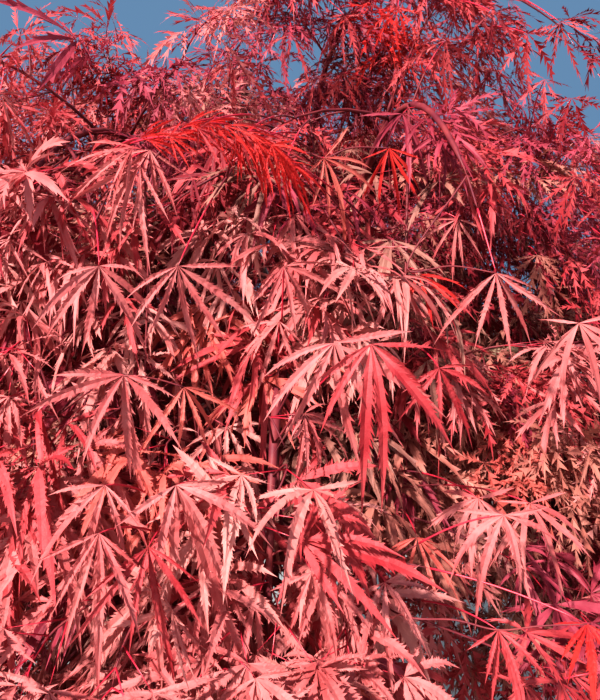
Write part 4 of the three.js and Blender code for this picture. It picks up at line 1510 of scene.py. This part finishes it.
# %% Sprays that the picture shows as a whole
# The pixels half way along each spray and at its tip, their distance, and the leaves' colour.
SPRAYS = {
    "upper_left_first": ((62, 148), (22, 205), 0.58, "rose"),
    "upper_left_second": ((112, 196), (66, 255), 0.57, "rose"),
    "upper_left_third": ((34, 226), (12, 268), 0.60, "salmon"),
    "middle_first": ((150, 205), (118, 262), 0.58, "crimson"),
    "middle_second": ((206, 202), (246, 262), 0.60, "salmon"),
    "middle_third": ((262, 214), (312, 262), 0.58, "rose"),
    "middle_fourth": ((332, 226), (376, 292), 0.56, "salmon"),
    "middle_fifth": ((236, 292), (204, 334), 0.60, "coral"),
    "middle_sixth": ((350, 296), (322, 338), 0.60, "salmon"),
    "middle_seventh": ((300, 296), (268, 348), 0.58, "crimson"),
    "middle_eighth": ((356, 236), (330, 284), 0.57, "rose"),
    "middle_ninth": ((382, 262), (356, 310), 0.58, "salmon"),
    "middle_tenth": ((108, 300), (140, 352), 0.56, "salmon"),
    "below_middle_first": ((258, 384), (286, 450), 0.45, "rose"),
    "below_middle_second": ((304, 440), (270, 508), 0.44, "salmon"),
    "below_middle_third": ((250, 472), (268, 545), 0.45, "crimson"),
    "right_arch_first": ((396, 98), (436, 140), 0.68, "ruby"),
    "right_arch_second": ((446, 132), (478, 184), 0.70, "crimson"),
    "right_arch_third": ((470, 196), (492, 244), 0.70, "maroon"),
    "right_edge_first": ((562, 128), (592, 172), 0.74, "ruby"),
    "right_edge_second": ((572, 192), (596, 238), 0.74, "crimson"),
    "right_back_first": ((524, 186), (552, 246), 0.86, "ruby"),
    "right_back_second": ((556, 246), (584, 300), 0.84, "crimson"),
    "right_back_third": ((574, 22), (598, 74), 0.92, "maroon"),
    "right_back_fourth": ((536, 96), (562, 150), 0.90, "crimson"),
    "right_back_fifth": ((492, 160), (518, 206), 0.92, "ruby"),
    "right_back_sixth": ((466, 205), (494, 252), 0.96, "maroon"),
    "right_edge_third": ((540, 318), (562, 372), 0.68, "rose"),
    "right_edge_fourth": ((552, 424), (588, 474), 0.70, "bronze"),
    "low_right_first": ((430, 428), (452, 478), 0.76, "bronze"),
    "low_right_second": ((440, 590), (462, 642), 0.84, "bronze"),
    "low_right_third": ((542, 560), (578, 612), 0.66, "ruby"),
    "low_right_fifth": ((486, 590), (506, 646), 0.90, "maroon"),
    "low_right_sixth": ((452, 650), (432, 700), 0.80, "crimson"),
    "low_right_seventh": ((512, 560), (534, 612), 0.84, "tan"),
    "low_right_eighth": ((420, 548), (404, 602), 0.72, "rose"),
    "low_right_ninth": ((524, 650), (548, 700), 0.86, "maroon"),
    "right_middle_first": ((428, 330), (450, 382), 0.70, "rose"),
    "right_middle_second": ((470, 350), (498, 400), 0.72, "crimson"),
    "right_middle_third": ((442, 398), (420, 448), 0.70, "bronze"),
    "right_middle_fourth": ((482, 418), (506, 468), 0.74, "coral"),
    "right_middle_fifth": ((408, 468), (430, 520), 0.70, "bronze"),
    "right_middle_sixth": ((462, 470), (442, 522), 0.72, "salmon"),
    "right_middle_seventh": ((530, 430), (552, 480), 0.76, "bronze"),
    "right_middle_eighth": ((584, 440), (600, 492), 0.74, "salmon"),
    "low_right_fourth": ((560, 664), (592, 704), 0.60, "crimson"),
    "low_middle_first": ((338, 600), (352, 662), 0.50, "rose"),
    "low_middle_second": ((330, 510), (356, 572), 0.52, "salmon"),
    "low_middle_third": ((376, 540), (344, 598), 0.52, "rose"),
    "low_left_first": ((228, 530), (206, 592), 0.46, "salmon"),
    "low_left_second": ((262, 560), (284, 622), 0.48, "rose"),
    "low_left_third": ((40, 610), (28, 672), 0.46, "rose"),
    "low_left_fifth": ((242, 604), (226, 668), 0.47, "rose"),
    "low_left_sixth": ((272, 640), (256, 700), 0.50, "salmon"),
    "left_middle_first": ((150, 420), (172, 480), 0.50, "coral"),
    "left_middle_second": ((60, 452), (84, 512), 0.50, "rose"),
    "low_left_fourth": ((120, 620), (112, 688), 0.45, "rose"),
    "left_edge_first": ((22, 300), (14, 362), 0.55, "rose"),
    "left_edge_second": ((46, 424), (26, 486), 0.50, "crimson"),
}
# The same for sprays at the back, where the picture shows dark leaves behind the others.
# Their maroon and ruby are partly painted shade.
FAR_SPRAYS = {
    "first": ((520, 196), (535, 246), 1.12, "maroon"),
    "second": ((556, 206), (574, 258), 1.10, "ruby"),
    "third": ((542, 156), (562, 202), 1.10, "maroon"),
    "fourth": ((498, 200), (512, 250), 1.15, "maroon"),
    "fifth": ((578, 168), (592, 216), 1.06, "crimson"),
    "sixth": ((520, 246), (540, 296), 1.08, "maroon"),
    "seventh": ((548, 262), (570, 310), 1.05, "ruby"),
}
SPRAY_SEATS = (0.42, 0.58, 0.72, 0.86, 1.0)


def grown_sprays(sprays, draw):
    """A twig for each spray, from the nearest free place behind it, and the leaves on the twigs."""
    bends, ends = points_of(sprays)
    twigs = {
        "start": free_seats(carriers, bends),
        "bend": bends,
        "end": ends,
        **tapers("spray", len(sprays)),
        "mass": np.zeros(len(sprays), int),
    }
    grown = finish_leaves(seat_leaves(twigs, SPRAY_SEATS, draw), draw)
    grown = only(grown, ~hides_clear(grown))
    print("sprays:", len(sprays), "with", len(grown["palm"]), "leaves")
    return twigs, grown


spray_twigs, spray_leaves = grown_sprays(SPRAYS, leaf_draw)
far_twigs, far_leaves = grown_sprays(FAR_SPRAYS, np.random.default_rng(19))

# %% Twigs that the picture shows by themselves
SHOWN_RINGS, SHOWN_SIDES = 40, 6
SHOWN_TWIGS = {  # pixels along each twig, its distance and its radii at the two ends
    "hanging": (((232, 132), (184, 139), (155, 157), (146, 184), (148, 260), (145, 372)),
                0.52, 0.0013, 0.0008),
    "first_long": (((286, 157), (308, 153), (324, 158), (350, 148), (389, 148)),
                   0.60, 0.0010, 0.0006),
    "second_long": (((408, 270), (452, 266), (496, 273)), 0.51, 0.0009, 0.0006),
    "low_long": (((412, 618), (455, 620), (498, 630), (540, 626), (587, 624)),
                 0.49, 0.0009, 0.0006),
    "left_long": (((124, 376), (156, 379), (184, 387)), 0.43, 0.0008, 0.0006),
}


def shown_twig(pixels, distance, thick, thin):
    """A tapered tube through the pixels, that starts at the nearest twig behind its first point."""
    points = np.array([pixel_point(x, y, distance) for x, y in pixels])
    points = np.vstack([free_seats(carriers, points[:1]), points])
    line = line_of(lambda share: through(points, share))

    def radius(share, angle):
        return thick + (thin - thick) * share + 0 * angle

    return capped(*limb_surface(line, radius, SHOWN_RINGS, SHOWN_SIDES))


shown_surfaces = [shown_twig(*twig) for twig in SHOWN_TWIGS.values()]

# %% [markdown]
# ## Colour by spray
# The crown is red, but not one red, and some of the reds are painted light. Salmon and rose are partly
# painted sunlight and are dealt most often low on the crown, and crimson and ruby more towards the top,
# partly as painted shade there. Scarlet stands for young sprays and partly paints light shining through
# backlit leaves, and bronze is for old ones. The leaves inside are dealt maroon, bronze, tan and the deeper
# reds as painted shade, and partly as dark and dried leaves. Each twig draws one plain colour for all its
# leaves.

# %% The leaf finishes
# Salmon and rose are partly painted sunlight, scarlet partly paints light shining through the blade, and
# maroon is painted shade as well as a dark red of the leaves.
LEAF_COLOURS = {
    "salmon": ((0.54, 0.205, 0.185), (0.46, 0.118, 0.110)),
    "rose": ((0.50, 0.148, 0.142), (0.40, 0.070, 0.072)),
    "coral": ((0.53, 0.118, 0.096), (0.44, 0.070, 0.058)),
    "crimson": ((0.45, 0.062, 0.068), (0.30, 0.019, 0.026)),
    "ruby": ((0.36, 0.048, 0.075), (0.19, 0.011, 0.026)),
    "scarlet": ((0.66, 0.040, 0.034), (0.48, 0.016, 0.018)),
    "maroon": ((0.15, 0.008, 0.016), (0.24, 0.014, 0.022)),
    "bronze": ((0.42, 0.15, 0.115), (0.29, 0.075, 0.06)),
    "tan": ((0.34, 0.135, 0.105), (0.19, 0.064, 0.052)),
}
USUAL_GLOW = 0.27  # how much light passes through a blade
LEAF_GLOW = {"scarlet": 0.42}  # the same for the colours where it is not the usual share
# At the foot more pale salmon and rose, partly painted light; at the top more crimson, ruby and maroon,
# partly painted shade.
FOOT_CHANCES = {"salmon": 0.25, "rose": 0.36, "coral": 0.06, "crimson": 0.17, "ruby": 0.04,
                "scarlet": 0.03, "maroon": 0.04, "bronze": 0.05}
TOP_CHANCES = {"salmon": 0.03, "rose": 0.14, "coral": 0.03, "crimson": 0.36, "ruby": 0.28,
               "scarlet": 0.02, "maroon": 0.13, "bronze": 0.01}
# Colours of the leaves inside the crown: darker, as painted shade, and partly the leaves' own dark and dried
# colours.
PAINTED_SHADE_CHANCES = {"crimson": 0.17, "ruby": 0.10, "maroon": 0.36, "bronze": 0.20, "tan": 0.17}
PAINTED_SHADE_SHARE = 0.80  # of the dome, inside which the leaves draw the darker colours of painted shade
leaf_finishes = {
    name: finish_of("leaf_" + name, first, second, coarse=26, fine=800, roughness=0.5, change=0.2,
                    bump=0.3, specular=0.30, glow=LEAF_GLOW.get(name, USUAL_GLOW))
    for name, (first, second) in LEAF_COLOURS.items()
}
colour_names = list(LEAF_COLOURS)


def chance_row(chances):
    """The chances of all the colours in their order, as shares of one."""
    row = np.array([chances.get(name, 0) for name in colour_names])
    return row / row.sum()


# %% Deal the colours
SPRAY_MIDDLE = 0.7  # the share of a twig that stands for the place of all its leaves
colour_draw = np.random.default_rng(17)
spray_places = parabola(leafy, SPRAY_MIDDLE)[0]
spray_height = height_share(spray_places)[:, None]
spray_chances = (1 - spray_height) * chance_row(FOOT_CHANCES)
spray_chances += spray_height * chance_row(TOP_CHANCES)
# Sprays inside the crown draw the darker colours of painted shade.
painted_shade_sprays = dome_share(spray_places) < PAINTED_SHADE_SHARE
spray_chances[painted_shade_sprays] = chance_row(PAINTED_SHADE_CHANCES)
spray_draw = colour_draw.random(len(spray_places))[:, None]
spray_colour = (spray_chances.cumsum(1) < spray_draw).sum(1).clip(0, len(colour_names) - 1)
leaves["colour"] = spray_colour[leaves["twig"]]


def written_colours(rows):
    """The numbers of the colours that are written last in the rows of a table."""
    return np.array([colour_names.index(colour) for *_, colour in rows.values()])


spray_leaves["colour"] = written_colours(SPRAYS)[spray_leaves["twig"]]
far_leaves["colour"] = written_colours(FAR_SPRAYS)[far_leaves["twig"]]
clear_leaves["colour"] = written_colours(CLEAR_LEAVES)
leaves = stacked([leaves, spray_leaves])

# %% Choose the detail
DETAIL_REACH = (0.54, 0.68, 0.92)  # metres from the lens to which each finer detail is used
DETAIL_BESIDE, DETAIL_ABOVE = 40, 50  # pixels beyond the picture's edges, where it is used too
SLIM_SCATTER = 0.2
BROAD_RATE = 1.6  # how soon below the crown's top the leaves have their full width
groups = (leaves, clear_leaves, far_leaves)
every_leaf = {key: np.concatenate([group[key] for group in groups]) for key in clear_leaves}
from_camera = np.linalg.norm(every_leaf["palm"] - CAMERA_PLACE, axis=1)
seen_x, seen_y, seen_depth = seen_at(every_leaf["palm"])
in_picture = near_picture(seen_x, seen_y, DETAIL_BESIDE, DETAIL_ABOVE) & (seen_depth > 0)
by_distance = np.searchsorted(DETAIL_REACH, from_camera, side="right")
detail = np.where(in_picture, by_distance, len(DETAIL_REACH))
slim = height_share(every_leaf["palm"]) + leaf_draw.normal(0, SLIM_SCATTER, len(detail))
variants = (1 - slim) * BROAD_RATE * SHAPE_VARIANTS
variants = np.clip(variants, 0, SHAPE_VARIANTS - 1).astype(int)
print("leaves at each detail:", dict(zip(leaf_shapes, np.bincount(detail).tolist())))

# %% Join the leaves by colour
MOST_FACES = 190_000  # the faces after which a colour's next piece begins


def leaves_like(chosen):
    """The blades of the chosen leaves, each with the detail that its place calls for."""
    parts = []
    for number, shapes in enumerate(leaf_shapes.values()):
        these = chosen[detail[chosen] == number]
        if len(these):
            parts.append(place_blades(shapes, only(every_leaf, these), variants[these]))
    return joined(parts)


leaf_faces = 0
for number, name in enumerate(colour_names):
    chosen = np.flatnonzero(every_leaf["colour"] == number)
    batch = (np.cumsum(shape_faces[detail[chosen]]) // MOST_FACES).astype(int)
    for group in range(batch.max() + 1):
        points, faces = leaves_like(chosen[batch == group])
        piece_name = f"leaves_{name}_{group + 1}"
        piece = mesh_piece(piece_name, points, faces, [leaf_finishes[name]], smooth=False)
        dress(piece, foliage_names)
        leaf_faces += len(faces)
print("all leaves:", leaf_faces, "triangles")

# %% The stalks
leaves = stacked([leaves, far_leaves])
stalk_twigs = {
    "start": leaves["root"],
    "bend": 0.5 * (leaves["root"] + leaves["palm"]),
    "end": leaves["palm"],
    **tapers("stalk", len(leaves["palm"])),
}
stalk_points, stalk_faces = joined([tubes(stalk_twigs, "stalk"), tubes(clear_stalks, "clear")])
stalks = mesh_piece("leaf_stalks", stalk_points, stalk_faces, [STALK_SKIN])
dress(stalks)
leader_points, leader_faces = joined([
    tubes(clear_twigs, "clear"),
    tubes(spray_twigs, "spray"),
    tubes(far_twigs, "spray"),
    *shown_surfaces,
])
leaders = mesh_piece("clear_twigs", leader_points, leader_faces, [TWIG_SKIN])
dress(leaders)

# %% [markdown]
# ## Floor and light
# The floor is a plain grey that looks pale in this light. The sun stands high on the left. A
# soft warm lamp in front and a weak cool one on the right lighten the shadows, and one behind
# shines through the leaves. The world is a plain blue, as outdoors, and lights the shadows too.

# %% The floor
FLOOR_HALF = 30.0
FLOOR_COLOUR, FLOOR_ROUGHNESS = (0.17, 0.17, 0.165, 1), 0.8
corner_signs = ((-1, -1), (1, -1), (1, 1), (-1, 1))
floor_points = [(x * FLOOR_HALF, y * FLOOR_HALF, 0) for x, y in corner_signs]
floor_material = bpy.data.materials.new("pale_floor")
floor_material.use_nodes = True
floor_surface = floor_material.node_tree.nodes["Principled BSDF"]
floor_surface.inputs["Base Color"].default_value = FLOOR_COLOUR
floor_surface.inputs["Roughness"].default_value = FLOOR_ROUGHNESS
floor = mesh_piece("floor", floor_points, [[0, 1, 2, 3]], [floor_material])
floor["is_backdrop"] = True

# %% The lamps
SUN_WIDTH = math.radians(3)
LAMPS = {  # kind, place, where it points, power, colour, and its width: an angle or metres
    "key": ("SUN", (-2.1, -3.1, 3.4), (0, -0.2, 0.95), 11.6, (1.0, 0.97, 0.93), SUN_WIDTH),
    "fill": ("AREA", (3.2, -1.8, 2.2), (0, 0, 0.9), 18, (0.92, 0.96, 1.0), 2.5),
    "front": ("AREA", (0.3, -3.8, 1.5), (0, 0, 0.95), 45, (1.0, 0.90, 0.86), 2.5),
    "back": ("AREA", (0.8, 3.2, 3.0), (0, 0, 1.0), 90, (1, 1, 1), 2.0),
}
WORLD_COLOUR, WORLD_STRENGTH = (0.34, 0.62, 1.0, 1), 0.40


def lamp(name, kind, place, aim, power, colour, width):
    """A lamp at a place, turned so that it looks at the aim."""
    data = bpy.data.lights.new(name, kind)
    data.energy, data.color = power, colour
    if kind == "SUN":
        data.angle = width
    else:
        data.size = width
    made = bpy.data.objects.new(name, data)
    made.location = place
    made.rotation_euler = (Vector(aim) - Vector(place)).to_track_quat("-Z", "Y").to_euler()
    bpy.context.scene.collection.objects.link(made)


for name, settings in LAMPS.items():
    lamp(name, *settings)

world = bpy.data.worlds.new("studio")
world.use_nodes = True
world.node_tree.nodes["Background"].inputs["Color"].default_value = WORLD_COLOUR
world.node_tree.nodes["Background"].inputs["Strength"].default_value = WORLD_STRENGTH
bpy.context.scene.world = world
bpy.context.scene.view_settings.view_transform = "Standard"
bpy.context.scene.view_settings.look = "Medium High Contrast"

# %% [markdown]
# ## Sizes
# The dressed tree has to stay within the construction model's box, apart from a little that
# leaves may stand proud. Both boxes are printed.

# %% Print both boxes
boxes = {"cad": [list(corner) for corner in cad_box], "visual": [list(corner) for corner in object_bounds()]}
for name, (low, high) in boxes.items():
    print(name, [round(value, 3) for value in low], [round(value, 3) for value in high])
